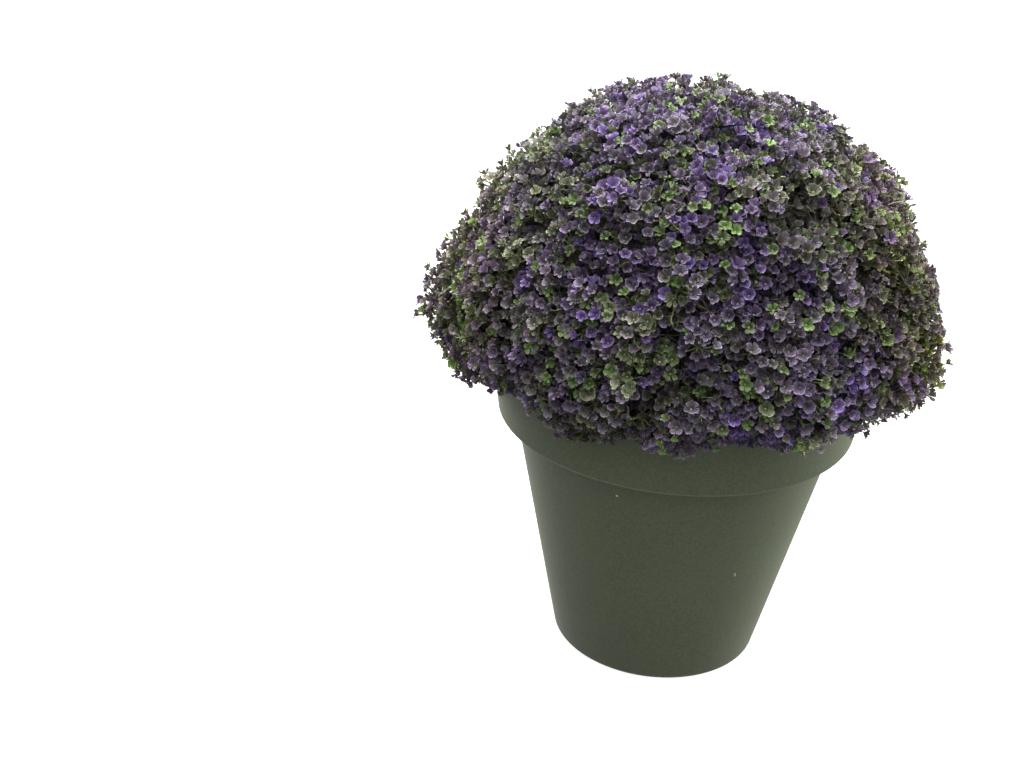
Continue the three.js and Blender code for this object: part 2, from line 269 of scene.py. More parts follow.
def near_pairs(points, gap):
    """For each point, the list of the others nearer than gap."""
    cells = {}
    keys = np.floor(points / gap).astype(int)
    for i, k in enumerate(map(tuple, keys)):
        cells.setdefault(k, []).append(i)
    out = []
    for i, (x, y, z) in enumerate(keys):
        near = [j for dx in (-1, 0, 1) for dy in (-1, 0, 1) for dz in (-1, 0, 1)
                for j in cells.get((x + dx, y + dy, z + dz), ())]
        near = np.array(near)
        d = ((points[near] - points[i]) ** 2).sum(1)
        out.append(near[(d < gap * gap) & (near != i)])
    return out


# ------------------------------------------------------------------ node helpers
def material(name):
    m = bpy.data.materials.new(name)
    m.use_nodes = True
    nt = m.node_tree
    return m, nt, nt.nodes["Principled BSDF"]


def node(nt, kind, **values):
    n = nt.nodes.new(kind)
    for key, value in values.items():
        if key.startswith("in_"):
            n.inputs[key[3:].replace("_", " ")].default_value = value
        else:
            setattr(n, key, value)
    return n


def attribute(nt, name):
    n = nt.nodes.new("ShaderNodeAttribute")
    n.attribute_type = "GEOMETRY"
    n.attribute_name = name
    return n.outputs["Fac"]


def maths(nt, op, a, b=None, clamp=False):
    n = nt.nodes.new("ShaderNodeMath")
    n.operation = op
    n.use_clamp = clamp
    for i, value in enumerate((a, b)):
        if value is None:
            continue
        if isinstance(value, (int, float)):
            n.inputs[i].default_value = value
        else:
            nt.links.new(value, n.inputs[i])
    return n.outputs[0]


def ramp(nt, fac, stops, interpolation="LINEAR"):
    n = nt.nodes.new("ShaderNodeValToRGB")
    n.color_ramp.interpolation = interpolation
    els = n.color_ramp.elements
    while len(els) < len(stops):
        els.new(0.5)
    for el, (pos, colour) in zip(els, stops):
        el.position = pos
        el.color = (*colour, 1) if len(colour) == 3 else colour
    nt.links.new(fac, n.inputs["Fac"])
    return n.outputs["Color"]


def mixed(nt, fac, a, b, blend="MIX"):
    n = nt.nodes.new("ShaderNodeMix")
    n.data_type = "RGBA"
    n.blend_type = blend
    for socket, value in ((n.inputs[0], fac), (n.inputs[6], a), (n.inputs[7], b)):
        if isinstance(value, (int, float)):
            socket.default_value = value
        elif isinstance(value, tuple):
            socket.default_value = (*value, 1) if len(value) == 3 else value
        else:
            nt.links.new(value, socket)
    return n.outputs[2]


def lin(r, g, b):
    """An sRGB colour of 0 to 255 as linear numbers."""
    return tuple(c / 255 / 12.92 if c <= 10.3 else ((c / 255 + 0.055) / 1.055) ** 2.4 for c in (r, g, b))


def noise(nt, coords, scale, detail=3.0, rough=0.5):
    n = node(nt, "ShaderNodeTexNoise", in_Scale=scale, in_Detail=detail, in_Roughness=rough)
    nt.links.new(coords, n.inputs["Vector"])
    return n


def object_coords(nt):
    return nt.nodes.new("ShaderNodeTexCoord").outputs["Object"]


def bump(nt, height, strength, distance, bsdf):
    n = node(nt, "ShaderNodeBump", in_Strength=strength, in_Distance=distance)
    nt.links.new(height, n.inputs["Height"])
    nt.links.new(n.outputs["Normal"], bsdf.inputs["Normal"])


# ------------------------------------------------------------------ camera
CAM = Vector((-0.04243, -1.11460, 0.76296))
YAW, PITCH, ROLL = -0.07758, 0.45632, 0.05388
look = Vector((math.sin(YAW) * math.cos(PITCH), math.cos(YAW) * math.cos(PITCH), -math.sin(PITCH)))
level = look.cross(Vector((0, 0, 1))).normalized()
upward = level.cross(look)
cam_right = level * math.cos(ROLL) + upward * math.sin(ROLL)
cam_up = upward * math.cos(ROLL) - level * math.sin(ROLL)
camera_data = bpy.data.cameras.new("camera")
camera_data.sensor_width = 36.0
camera_data.sensor_fit = "HORIZONTAL"
camera_data.lens = 53.33
camera = bpy.data.objects.new("camera", camera_data)
turn = Matrix((cam_right, cam_up, -look)).transposed().to_4x4()
camera.matrix_world = Matrix.Translation(CAM) @ turn
bpy.context.scene.collection.objects.link(camera)
bpy.context.scene.camera = camera

# ------------------------------------------------------------------ light
scene = bpy.context.scene
scene.view_settings.view_transform = "Standard"
scene.view_settings.look = "None"
scene.view_settings.exposure = 0.0
scene.view_settings.gamma = 1.0

AMBIENT, BEHIND, ABOVE, BELOW = 0.185, 0.40, 4.8, 0.22
world = bpy.data.worlds.new("studio")
scene.world = world
world.use_nodes = True
wt = world.node_tree
for n in list(wt.nodes):
    wt.nodes.remove(n)
w_out = wt.nodes.new("ShaderNodeOutputWorld")
seen = node(wt, "ShaderNodeBackground", in_Color=(1, 1, 1, 1), in_Strength=1.0)
lit = node(wt, "ShaderNodeBackground", in_Color=(1, 1, 1, 1))
w_coord = wt.nodes.new("ShaderNodeTexCoord")
w_xyz = wt.nodes.new("ShaderNodeSeparateXYZ")
wt.links.new(w_coord.outputs["Generated"], w_xyz.inputs[0])
parts = [maths(wt, "MULTIPLY", maths(wt, "ADD", w_xyz.outputs["Y"], 0.1, clamp=True), BEHIND),
         maths(wt, "MULTIPLY", maths(wt, "POWER", maths(wt, "ADD", w_xyz.outputs["Z"], 0.0, clamp=True), 3.0), ABOVE),
         maths(wt, "MULTIPLY", maths(wt, "MULTIPLY", w_xyz.outputs["Z"], -1.0, clamp=True), BELOW)]
glow = AMBIENT
for value in parts:
    glow = maths(wt, "ADD", value, glow)
wt.links.new(glow, lit.inputs["Strength"])
w_path = wt.nodes.new("ShaderNodeLightPath")
w_mix = wt.nodes.new("ShaderNodeMixShader")
wt.links.new(w_path.outputs["Is Camera Ray"], w_mix.inputs[0])
wt.links.new(lit.outputs[0], w_mix.inputs[1])
wt.links.new(seen.outputs[0], w_mix.inputs[2])
wt.links.new(w_mix.outputs[0], w_out.inputs[0])


def softbox(name, place, target, size, power, colour=(1, 1, 1)):
    data = bpy.data.lights.new(name, "AREA")
    data.shape = "RECTANGLE"
    data.size, data.size_y = size
    data.energy = power
    data.color = colour
    ob = bpy.data.objects.new(name, data)
    ob.location = place
    ob.rotation_euler = (Vector(target) - Vector(place)).to_track_quat("-Z", "Y").to_euler()
    ob.visible_camera = False
    bpy.context.scene.collection.objects.link(ob)
    return ob


softbox("overhead", (-0.03, 0.35, 1.82), (0, 0, 0.3), (0.9, 0.7), 26.5)
softbox("key", (-0.35, 0.4, 1.68), (0, 0, 0.35), (0.3, 0.3), 12)
softbox("left_behind", (-1.02, 1.27, 0.24), (0, 0, 0.2), (0.8, 0.6), 60, (1.0, 1.0, 0.84))
softbox("right_behind", (1.46, 0.68, 0.28), (0, 0, 0.2), (0.8, 0.6), 29, (1.0, 1.0, 0.84))
softbox("front_fill", (1.15, -1.25, 0.32), (0, 0, 0.2), (0.9, 0.8), 3.0)

# The floor shows its own soft shadow, and the light from below comes from the studio's glow
floor = write_mesh("floor", np.array([[-6e3, -6e3, 0], [6e3, -6e3, 0], [6e3, 6e3, 0], [-6e3, 6e3, 0]], float),
                   np.array([[0, 1, 2], [0, 2, 3]]))
m_floor, nt, bsdf = material("studio_floor")
bsdf.inputs["Base Color"].default_value = (*lin(170, 170, 170), 1)
bsdf.inputs["Roughness"].default_value = 0.9
bsdf.inputs["Specular IOR Level"].default_value = 0.1
bsdf.inputs["Emission Color"].default_value = (1, 1, 1, 1)
bsdf.inputs["Emission Strength"].default_value = 0.72
floor.data.materials.append(m_floor)
floor.visible_diffuse = False
floor.visible_glossy = False

# ------------------------------------------------------------------ materials
m_pot, nt, bsdf = material("moulded_plastic")
co = object_coords(nt)
broad = noise(nt, co, 9.0, 2.0)
fine = noise(nt, co, 480.0, 5.0, 0.8)
grain = noise(nt, co, 2600.0, 2.0, 0.5)
tint = mixed(nt, maths(nt, "MULTIPLY", maths(nt, "SUBTRACT", broad.outputs["Fac"], 0.35, clamp=True), 1.6),
             lin(85, 94, 70), lin(93, 102, 77))
speckled = maths(nt, "ADD", maths(nt, "MULTIPLY", fine.outputs["Fac"], 1.6), -0.3)
tint = mixed(nt, 0.55, tint, speckled, "OVERLAY")
xyz = nt.nodes.new("ShaderNodeSeparateXYZ")
nt.links.new(co, xyz.inputs[0])
flat = maths(nt, "SQRT", maths(nt, "ADD", maths(nt, "MULTIPLY", xyz.outputs["X"], xyz.outputs["X"]),
                               maths(nt, "MULTIPLY", xyz.outputs["Y"], xyz.outputs["Y"])))
# painted highlight: a paler line along the collar's rounded lower edge, stronger towards the left side
collar_edge_highlight = maths(nt, "ABSOLUTE", maths(nt, "SUBTRACT", xyz.outputs["Z"], 0.001 * COLLAR_Z + 0.0007))
collar_edge_highlight = maths(nt, "SUBTRACT", 1.0, maths(nt, "MULTIPLY", collar_edge_highlight, 900.0), clamp=True)
collar_edge_highlight = maths(nt, "MULTIPLY", collar_edge_highlight, maths(nt, "MULTIPLY", maths(nt, "SUBTRACT", flat, 0.1405, clamp=True), 1500.0, clamp=True))
collar_edge_highlight = maths(nt, "MULTIPLY", collar_edge_highlight, maths(nt, "ADD", maths(nt, "MULTIPLY", xyz.outputs["X"], -1.6), 0.34))
tint = mixed(nt, collar_edge_highlight, tint, lin(150, 158, 130))  # painted highlight along the collar's rounded lower edge, stronger towards the left
worn = noise(nt, co, 260.0, 3.0, 0.6)
foot = maths(nt, "SUBTRACT", 1.0, maths(nt, "MULTIPLY", xyz.outputs["Z"], 220.0), clamp=True)
scuffed = maths(nt, "MULTIPLY", maths(nt, "SUBTRACT", worn.outputs["Fac"], 0.52, clamp=True), 12.0, clamp=True)
tint = mixed(nt, maths(nt, "MULTIPLY", maths(nt, "MULTIPLY", foot, scuffed), 0.5), tint, lin(150, 152, 130))


def speck(centre, size):
    """1 at a small mark on the wall, 0 around it."""
    off = node(nt, "ShaderNodeVectorMath", operation="SUBTRACT")
    nt.links.new(co, off.inputs[0])
    off.inputs[1].default_value = centre
    share = node(nt, "ShaderNodeVectorMath", operation="MULTIPLY")
    nt.links.new(off.outputs[0], share.inputs[0])
    share.inputs[1].default_value = tuple(1 / v for v in size)
    far = node(nt, "ShaderNodeVectorMath", operation="LENGTH")
    nt.links.new(share.outputs[0], far.inputs[0])
    return maths(nt, "MULTIPLY", maths(nt, "SUBTRACT", 1.0, far.outputs["Value"], clamp=True), 3.0, clamp=True)


# painted shade: the pot's colour darkens towards the foot
painted_foot_shade = maths(nt, "ADD", maths(nt, "MULTIPLY", xyz.outputs["Z"], 2.0, clamp=True), 0.78, clamp=True)
shaded = nt.nodes.new("ShaderNodeCombineColor")
for k in range(3):
    nt.links.new(painted_foot_shade, shaded.inputs[k])
tint = mixed(nt, 1.0, tint, shaded.outputs[0], "MULTIPLY")  # painted shade: a little darker towards the foot
marks = maths(nt, "ADD", speck((-0.0405, -0.1194, 0.1874), (0.0013, 0.002, 0.0010)),
              speck((0.0564, -0.0943, 0.1121), (0.00055, 0.002, 0.0024)))
tint = mixed(nt, maths(nt, "MULTIPLY", marks, 0.85, clamp=True), tint, lin(214, 214, 204))
nt.links.new(tint, bsdf.inputs["Base Color"])
bsdf.inputs["Roughness"].default_value = 0.45
bsdf.inputs["Specular IOR Level"].default_value = 0.55
both = maths(nt, "ADD", maths(nt, "MULTIPLY", fine.outputs["Fac"], 0.6), maths(nt, "MULTIPLY", grain.outputs["Fac"], 0.4))
bump(nt, both, 0.4, 0.0003, bsdf)

m_soil, nt, bsdf = material("potting_compost")
co = object_coords(nt)
clumps = noise(nt, co, 240.0, 5.0, 0.65)
crumbs = noise(nt, co, 900.0, 4.0, 0.6)
tint = ramp(nt, clumps.outputs["Fac"], [(0.3, lin(20, 14, 10)), (0.5, lin(46, 33, 23)), (0.62, lin(74, 54, 36)),
                                        (0.75, lin(98, 78, 54))])
tint = mixed(nt, 0.35, tint, crumbs.outputs["Color"], "OVERLAY")
nt.links.new(tint, bsdf.inputs["Base Color"])
bsdf.inputs["Roughness"].default_value = 0.95
bsdf.inputs["Specular IOR Level"].default_value = 0.2
bump(nt, maths(nt, "ADD", clumps.outputs["Fac"], maths(nt, "MULTIPLY", crumbs.outputs["Fac"], 0.5)), 0.8, 0.002, bsdf)

m_stem, nt, bsdf = material("green_stem")
co = object_coords(nt)
streak = noise(nt, co, 160.0, 3.0, 0.6)
fleck = noise(nt, co, 1400.0, 3.0, 0.55)
tint = ramp(nt, streak.outputs["Fac"], [(0.3, lin(58, 66, 34)), (0.5, lin(86, 96, 52)), (0.7, lin(112, 104, 66))])
tint = mixed(nt, 0.25, tint, fleck.outputs["Color"], "OVERLAY")
nt.links.new(tint, bsdf.inputs["Base Color"])
bsdf.inputs["Roughness"].default_value = 0.55
bump(nt, maths(nt, "ADD", streak.outputs["Fac"], fleck.outputs["Fac"]), 0.4, 0.0006, bsdf)

m_stalk, nt, bsdf = material("thin_stalks")
co = object_coords(nt)
streak = noise(nt, co, 120.0, 2.0, 0.5)
tint = ramp(nt, maths(nt, "ADD", maths(nt, "MULTIPLY", attribute(nt, "along"), 0.7),
                      maths(nt, "MULTIPLY", streak.outputs["Fac"], 0.4)),
            [(0.1, lin(58, 66, 36)), (0.5, lin(100, 110, 68)), (0.95, lin(116, 120, 86))])
nt.links.new(tint, bsdf.inputs["Base Color"])
bsdf.inputs["Roughness"].default_value = 0.5

m_petal, nt, bsdf = material("florets")
tone, shade = attribute(nt, "tone"), attribute(nt, "shade")
along, across = attribute(nt, "along"), attribute(nt, "across")
side = maths(nt, "ABSOLUTE", across)
body = ramp(nt, tone, [(0.00, lin(100, 128, 69)), (0.10, lin(98, 119, 70)), (0.20, lin(92, 100, 70)),
                       (0.34, lin(90, 86, 78)), (0.50, lin(91, 82, 91)), (0.66, lin(94, 79, 107)),
                       (0.82, lin(97, 76, 116)), (0.93, lin(97, 76, 126)), (1.00, lin(97, 77, 134))])
edge = ramp(nt, tone, [(0.00, lin(138, 158, 104)), (0.12, lin(142, 158, 112)), (0.24, lin(160, 162, 138)),
                       (0.38, lin(160, 156, 150)), (0.52, lin(157, 145, 166)), (0.68, lin(157, 143, 176)),
                       (0.84, lin(154, 138, 180)), (1.00, lin(142, 123, 182))])
heart = ramp(nt, tone, [(0.00, lin(100, 126, 70)), (0.3, lin(84, 92, 58)), (0.6, lin(78, 80, 60)),
                        (0.85, lin(74, 68, 72)), (1.00, lin(78, 64, 96))])
# the rims: the petals' paler edge colour together with a painted highlight where the thin edges catch the light
tip = maths(nt, "ADD", along, maths(nt, "MULTIPLY", side, 0.06))
rim_side = maths(nt, "MULTIPLY", maths(nt, "SUBTRACT", side, 0.74, clamp=True), 6.0, clamp=True)
rim_side = maths(nt, "MULTIPLY", rim_side, maths(nt, "MULTIPLY", maths(nt, "SUBTRACT", along, 0.25, clamp=True), 2.2, clamp=True))
rim_tip = maths(nt, "MULTIPLY", maths(nt, "SUBTRACT", tip, 0.87, clamp=True), 11.0, clamp=True)
rim_tint_and_highlight = maths(nt, "MAXIMUM", rim_side, rim_tip)
middle = maths(nt, "MULTIPLY", maths(nt, "SUBTRACT", 0.6, along, clamp=True), 2.2, clamp=True)
tint = mixed(nt, maths(nt, "MULTIPLY", middle, 0.85), body, heart)
co = object_coords(nt)
mottle = noise(nt, co, 520.0, 3.0, 0.65)
patchy = noise(nt, co, 260.0, 2.0, 0.5)
strong = maths(nt, "MULTIPLY", maths(nt, "SUBTRACT", patchy.outputs["Fac"], 0.26, clamp=True), 3.2, clamp=True)
tint = mixed(nt, maths(nt, "MULTIPLY", rim_tint_and_highlight, maths(nt, "MULTIPLY", strong, 0.95)), tint, edge)
wave = maths(nt, "COSINE", maths(nt, "ADD", maths(nt, "MULTIPLY", across, 11.0), maths(nt, "MULTIPLY", patchy.outputs["Fac"], 9.0)))
light = maths(nt, "ADD", maths(nt, "MULTIPLY", mottle.outputs["Fac"], 0.8), 0.69)
light = maths(nt, "ADD", light, maths(nt, "MULTIPLY", wave, 0.13))
light = maths(nt, "MULTIPLY", light, shade)
# painted shade in the creases between the petals, towards the heart
crease_shade = maths(nt, "MULTIPLY", side, maths(nt, "SUBTRACT", 0.9, along, clamp=True))
light = maths(nt, "MULTIPLY", light, maths(nt, "SUBTRACT", 1.0, maths(nt, "MULTIPLY", crease_shade, 0.6, clamp=True)))
grey = nt.nodes.new("ShaderNodeCombineColor")
for k in range(3):
    nt.links.new(light, grey.inputs[k])
tint = mixed(nt, 1.0, tint, grey.outputs[0], "MULTIPLY")
# painted glints: small near-white specks on the well-lit parts of the petals
painted_glint = noise(nt, co, 1050.0, 2.0, 0.5)
painted_glint = maths(nt, "MULTIPLY", maths(nt, "SUBTRACT", painted_glint.outputs["Fac"], 0.655, clamp=True), 16.0, clamp=True)
painted_glint = maths(nt, "MULTIPLY", painted_glint, maths(nt, "MULTIPLY", maths(nt, "SUBTRACT", shade, 0.62, clamp=True), 2.2, clamp=True))
tint = mixed(nt, maths(nt, "MULTIPLY", painted_glint, 0.42), tint, lin(190, 194, 198))
sallow = maths(nt, "MAXIMUM", speck((0.186, -0.0713, 0.305), (0.030, 0.034, 0.038)),
               maths(nt, "MULTIPLY", speck((0.143, -0.092, 0.382), (0.030, 0.030, 0.034)), 0.8))  # the yellower patches at one side
sallow = maths(nt, "MULTIPLY", sallow, maths(nt, "MULTIPLY", maths(nt, "SUBTRACT", 0.36, tone, clamp=True), 6.0, clamp=True))
tint = mixed(nt, maths(nt, "MULTIPLY", sallow, 0.9, clamp=True), tint, lin(240, 236, 140), "MULTIPLY")
warm = maths(nt, "MAXIMUM", speck((0.17, -0.04, 0.36), (0.10, 0.13, 0.15)),
             maths(nt, "MULTIPLY", speck((-0.19, -0.03, 0.31), (0.10, 0.15, 0.13)), 0.8))
tint = mixed(nt, maths(nt, "MULTIPLY", warm, 0.6, clamp=True), tint, lin(255, 240, 214), "MULTIPLY")
nt.links.new(tint, bsdf.inputs["Base Color"])
bsdf.inputs["Roughness"].default_value = 0.33
bsdf.inputs["Specular IOR Level"].default_value = 0.42
relief = maths(nt, "ADD", maths(nt, "MULTIPLY", wave, 0.5), mottle.outputs["Fac"])
bump(nt, relief, 0.65, 0.0006, bsdf)
through = nt.nodes.new("ShaderNodeBsdfTranslucent")
nt.links.new(tint, through.inputs["Color"])
thin = node(nt, "ShaderNodeMixShader")
thin.inputs[0].default_value = 0.14
nt.links.new(bsdf.outputs[0], thin.inputs[1])
nt.links.new(through.outputs[0], thin.inputs[2])
nt.links.new(thin.outputs[0], nt.nodes["Material Output"].inputs["Surface"])

m_heart, nt, bsdf = material("floret_middles")
tint = ramp(nt, attribute(nt, "tone"), [(0.0, lin(150, 176, 104)), (0.5, lin(128, 134, 108)), (1.0, lin(132, 124, 150))])
nt.links.new(tint, bsdf.inputs["Base Color"])
bsdf.inputs["Roughness"].default_value = 0.35


# ------------------------------------------------------------------ pot
def lathe(outline, segments):
    """A closed turned solid from an outline that starts and ends on the axis."""
    outline = np.array(outline, float)
    a = np.arange(segments) / segments * 2 * np.pi
    ring = outline[1:-1]
    verts = np.stack([ring[:, None, 0] * np.cos(a), ring[:, None, 0] * np.sin(a),
                      np.broadcast_to(ring[:, None, 1], (len(ring), segments))], -1).reshape(-1, 3)
    verts = np.concatenate([verts, [[0, 0, outline[0, 1]], [0, 0, outline[-1, 1]]]])
    low, high = len(verts) - 2, len(verts) - 1
    s = np.arange(segments)
    e = (s + 1) % segments
    tris = [np.stack([np.full(segments, low), e, s], -1)]
    for i in range(len(ring) - 1):
        p, q = i * segments, (i + 1) * segments
        tris += [np.stack([p + s, p + e, q + e], -1), np.stack([p + s, q + e, q + s], -1)]
    p = (len(ring) - 1) * segments
    tris.append(np.stack([p + s, p + e, np.full(segments, high)], -1))
    return verts, np.concatenate(tris)


def rounded(points, radii, steps=4):
    """An outline with its corners rounded to the radii given."""
    pts = [np.array(p, float) for p in points]
    out = [pts[0]]
    for i in range(1, len(pts) - 1):
        p, a, b, r = pts[i], pts[i - 1], pts[i + 1], radii[i]
        if r <= 0:
            out.append(p)
            continue
        u, v = (a - p) / np.linalg.norm(a - p), (b - p) / np.linalg.norm(b - p)
        half = math.acos(float(np.clip(u @ v, -1, 1))) / 2
        d = min(r / math.tan(half), np.linalg.norm(a - p) * 0.49, np.linalg.norm(b - p) * 0.49)
        s, e = p + u * d, p + v * d
        for k in range(steps + 1):
            t = k / steps
            out.append((1 - t) ** 2 * s + 2 * t * (1 - t) * p + t * t * e)
    out.append(pts[-1])
    return out


slope = (WALL_R - BASE_R) / COLLAR_Z


def wall_at(z):
    return BASE_R + slope * z


def collar_at(z):
    return COLLAR_R + (RIM_R - COLLAR_R) * (z - COLLAR_Z) / (POT_H - COLLAR_Z)


pot_points = [((0, 0), 0), ((wall_at(0) - 0.6, 0), 2.6), ((wall_at(COLLAR_Z), COLLAR_Z), 1.2),
              ((COLLAR_R, COLLAR_Z), 1.3), ((RIM_R, POT_H), 1.5), ((RIM_R - 5.6, POT_H), 1.5),
              ((RIM_R - 6.0, POT_H - 3.0), 0.8), ((collar_at(POT_H - 9) - WALL_T, POT_H - 9), 3.0),
              ((collar_at(COLLAR_Z + WALL_T) - WALL_T, COLLAR_Z + WALL_T), 1.0),
              ((wall_at(COLLAR_Z + WALL_T) - WALL_T, COLLAR_Z + WALL_T), 1.0),
              ((wall_at(FLOOR_T) - WALL_T, FLOOR_T), 4.0), ((0, FLOOR_T), 0)]
outline = rounded([p for p, _ in pot_points], [r for _, r in pot_points], 5)
pot_v, pot_t = lathe(outline, 180)
pot = write_mesh("pot_shell", pot_v, pot_t, mats=[m_pot])


def applied(ob):
    """Turns an object's modifiers into its mesh."""
    dg = bpy.context.evaluated_depsgraph_get()
    me = bpy.data.meshes.new_from_object(ob.evaluated_get(dg))
    old = ob.data
    ob.modifiers.clear()
    ob.data = me
    bpy.data.meshes.remove(old)


drills = Heap()
for k in range(DRAIN_COUNT):
    a = 2 * math.pi * (k + 0.5) / DRAIN_COUNT
    c = np.array([DRAIN_PCR * math.cos(a), DRAIN_PCR * math.sin(a), -4.0])
    v, t, _ = tubes(np.stack([c, c + [0, 0, 12.0]])[None], np.full((1, 2), DRAIN_R), 24)
    drills.add(v, t)
v, t, _ = drills.arrays()
cutter = write_mesh("cutter", v, t, smooth_faces=False)
cut = pot.modifiers.new("drains", "BOOLEAN")
cut.operation, cut.solver, cut.object = "DIFFERENCE", "EXACT", cutter
bpy.context.view_layer.update()
applied(pot)
bpy.data.objects.remove(cutter)
pot.data.set_sharp_from_angle(angle=math.radians(32))
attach(pot, "root")
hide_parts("pot")


# ------------------------------------------------------------------ compost
def soil_z(r):
    return SOIL_EDGE_Z + SOIL_CROWN * (1 - (r / 138) ** 2)


def inner_at(z):
    return (collar_at(z) if z > COLLAR_Z + WALL_T else wall_at(z)) - WALL_T - GAP


side = [(0, FLOOR_T + GAP), (inner_at(FLOOR_T + 5) - 5.0, FLOOR_T + GAP), (inner_at(FLOOR_T + 5) - 0.3, FLOOR_T + 5)]
side += [(inner_at(z) - 0.3, z) for z in np.linspace(30, COLLAR_Z - 1, 8)]
side += [(inner_at(COLLAR_Z) - 0.6, COLLAR_Z + WALL_T + GAP), (inner_at(COLLAR_Z + WALL_T + 1) - 0.8, COLLAR_Z + WALL_T + GAP),
         (inner_at(SOIL_EDGE_Z) - 0.8, SOIL_EDGE_Z - 1.0)]
rings = np.linspace(inner_at(SOIL_EDGE_Z) - 2.0, 1.5, 46)
outline = side + [(r, float(soil_z(r))) for r in rings] + [(0, soil_z(0))]
soil_v, soil_t = lathe(outline, 132)
top = soil_v[:, 2] > SOIL_EDGE_Z - 0.5


lift = 1.1 * wobble(soil_v, 26, 14, 5) + 0.8 * wobble(soil_v, 9, 16, 6) + 0.5 * wobble(soil_v, 4.5, 16, 7)
soil_v[top, 2] += (lift * smooth((inner_at(SOIL_EDGE_Z) - np.hypot(soil_v[:, 0], soil_v[:, 1])) / 6))[top] - 0.6
heap = Heap()
heap.add(soil_v, soil_t)
cube = np.array([[x, y, z] for x in (-1, 1) for y in (-1, 1) for z in (-1, 1)], float)
cube_t = np.array([[0, 1, 3], [0, 3, 2], [4, 6, 7], [4, 7, 5], [0, 4, 5], [0, 5, 1], [2, 3, 7], [2, 7, 6], [0, 2, 6],
                   [0, 6, 4], [1, 5, 7], [1, 7, 3]])
for _ in range(420):
    r, a = 132 * math.sqrt(rng.uniform()), rng.uniform(0, 2 * math.pi)
    size = np.array([rng.uniform(1.5, 5.5), rng.uniform(0.8, 2.4), rng.uniform(0.4, 1.2)])
    q = Matrix.Rotation(rng.uniform(0, 6.28), 3, "Z") @ Matrix.Rotation(rng.normal() * 0.5, 3, "X") @ Matrix.Rotation(
        rng.normal() * 0.4, 3, "Y")
    v = (cube * rng.uniform(0.7, 1.1, cube.shape) * size) @ np.array(q).T
    heap.add(v + [r * math.cos(a), r * math.sin(a), soil_z(r) - 0.2], cube_t)
v, t, _ = heap.arrays()
soil = write_mesh("potting_compost", v, t, mats=[m_soil])
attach(soil, "root")
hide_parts("compost")


# ------------------------------------------------------------------ stems
def reach_low(i):
    """The direction of the highest corner of a low spray's inner ring, where its twig meets it."""
    s = seeds[i]
    u = normed(np.cross([1.0, 0, 0] if abs(s[2]) > 0.95 else [0, 0, 1.0], s))
    w = np.cross(s, u)
    best = None
    for k in range(RAYS):
        a = 2 * math.pi * (k + 0.5) / RAYS
        t = u * math.cos(a) + w * math.sin(a)
        far = 0.5
        for j, o in enumerate(seeds):
            if j == i or t @ o <= 1e-6:
                continue
            x = math.atan2(1 - s @ o, t @ o)
            plane = normed(o - s)
            tilt = abs(plane @ (s * -math.sin(x) + t * math.cos(x)))
            far = min(far, x - SPRAY_GAP / 160 / max(tilt, 0.3))

        def way(x):
            return s * math.cos(x) + t * math.sin(x)

        def below(x):
            v = way(x)
            return math.degrees(math.acos(v[2])) > skirt_at(v)

        if below(far):
            lo, hi = 0.0, far
            for _ in range(24):
                m = (lo + hi) / 2
                lo, hi = (lo, m) if below(m) else (m, hi)
            far = lo
        v = way(far * 0.55)
        if best is None or v[2] > best[2]:
            best = v
    return best


ids = list(range(len(SPRAYS)))
groups = [[i for i in ids if SPRAYS[i, 1] < TOP_GROUP]]
rest = sorted([i for i in ids if SPRAYS[i, 1] >= TOP_GROUP], key=lambda i: SPRAYS[i, 0])
for g in range(SIDE_STEMS):
    a, b = (int(math.floor(k * len(rest) / SIDE_STEMS + 0.5)) for k in (g, g + 1))
    groups.append(rest[a:b])

twig_end, twig_aim = np.zeros((len(SPRAYS), 3)), np.zeros((len(SPRAYS), 3))
for g, members in enumerate(groups):
    mean = normed(seeds[members].sum(0))
    az, root = math.atan2(mean[1], mean[0]), 4.0 if g == 0 else 44.0
    foot = np.array([root * math.cos(az), root * math.sin(az), soil_z(root) - SOCKET_DEPTH + 0.6])
    fork = (np.array([mean[0] * 20, mean[1] * 20, MOUND_Z + 62]) if g == 0
            else np.array([78 * math.cos(az), 78 * math.sin(az), MOUND_Z + 22]))
    knee = np.array([foot[0] * 1.02, foot[1] * 1.02, 300.0 if g == 0 else 268.0])
    t = np.linspace(0, 1, 25)[:, None]
    line = (1 - t) ** 2 * foot + 2 * t * (1 - t) * knee + t * t * fork
    size = STEM_R + (FORK_R - STEM_R) * t[:, 0]
    size = size * (1 + 0.05 * np.sin(t[:, 0] * 23 + g) + 0.09 * np.exp(-((t[:, 0] * 4.2 % 1 - 0.5) / 0.09) ** 2))
    heap = Heap()
    v, tr, along = tubes(line[None], size[None], 14)
    heap.add(v, tr, along=along * 0.3)
    direction = normed(fork - knee)
    for i in members:
        aim, clear = seeds[i], 0.8
        if SPRAYS[i, 1] > 91:
            aim, clear = reach_low(i), 1.6
        end = at(aim[None], inside(aim[None]) - clear)[0]
        twig_end[i], twig_aim[i] = end, aim
        start = fork - direction * FORK_R * 1.6
        path = bezier([start[None], (start + direction * 22)[None], (end - aim * 34)[None], end[None]], 18)
        s = np.linspace(0, 1, 19)
        size = (FORK_R * 0.78 + (TWIG_R - FORK_R * 0.78) * s) * (1 + 0.07 * np.sin(s * 17 + i))
        v, tr, along = tubes(path, size[None], 9)
        heap.add(v, tr, along=0.3 + along * 0.5)
    v, tr, attrs = heap.arrays()
    stem = write_mesh(f"branching_stem_{g + 1}", v, tr, attrs, mats=[m_stem])
    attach(stem, "root")
    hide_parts(f"stem_{g + 1}")

# ------------------------------------------------------------------ where the florets stand
FLORET_R = 4.4
FLORET_GAP, LEVEL_GAP, LEVEL_DROP = 4.72, 7.5, 3.0
HUB_GAP, HUB_DEPTH = 15.5, 14.0
DEEP_GAP = 8.2


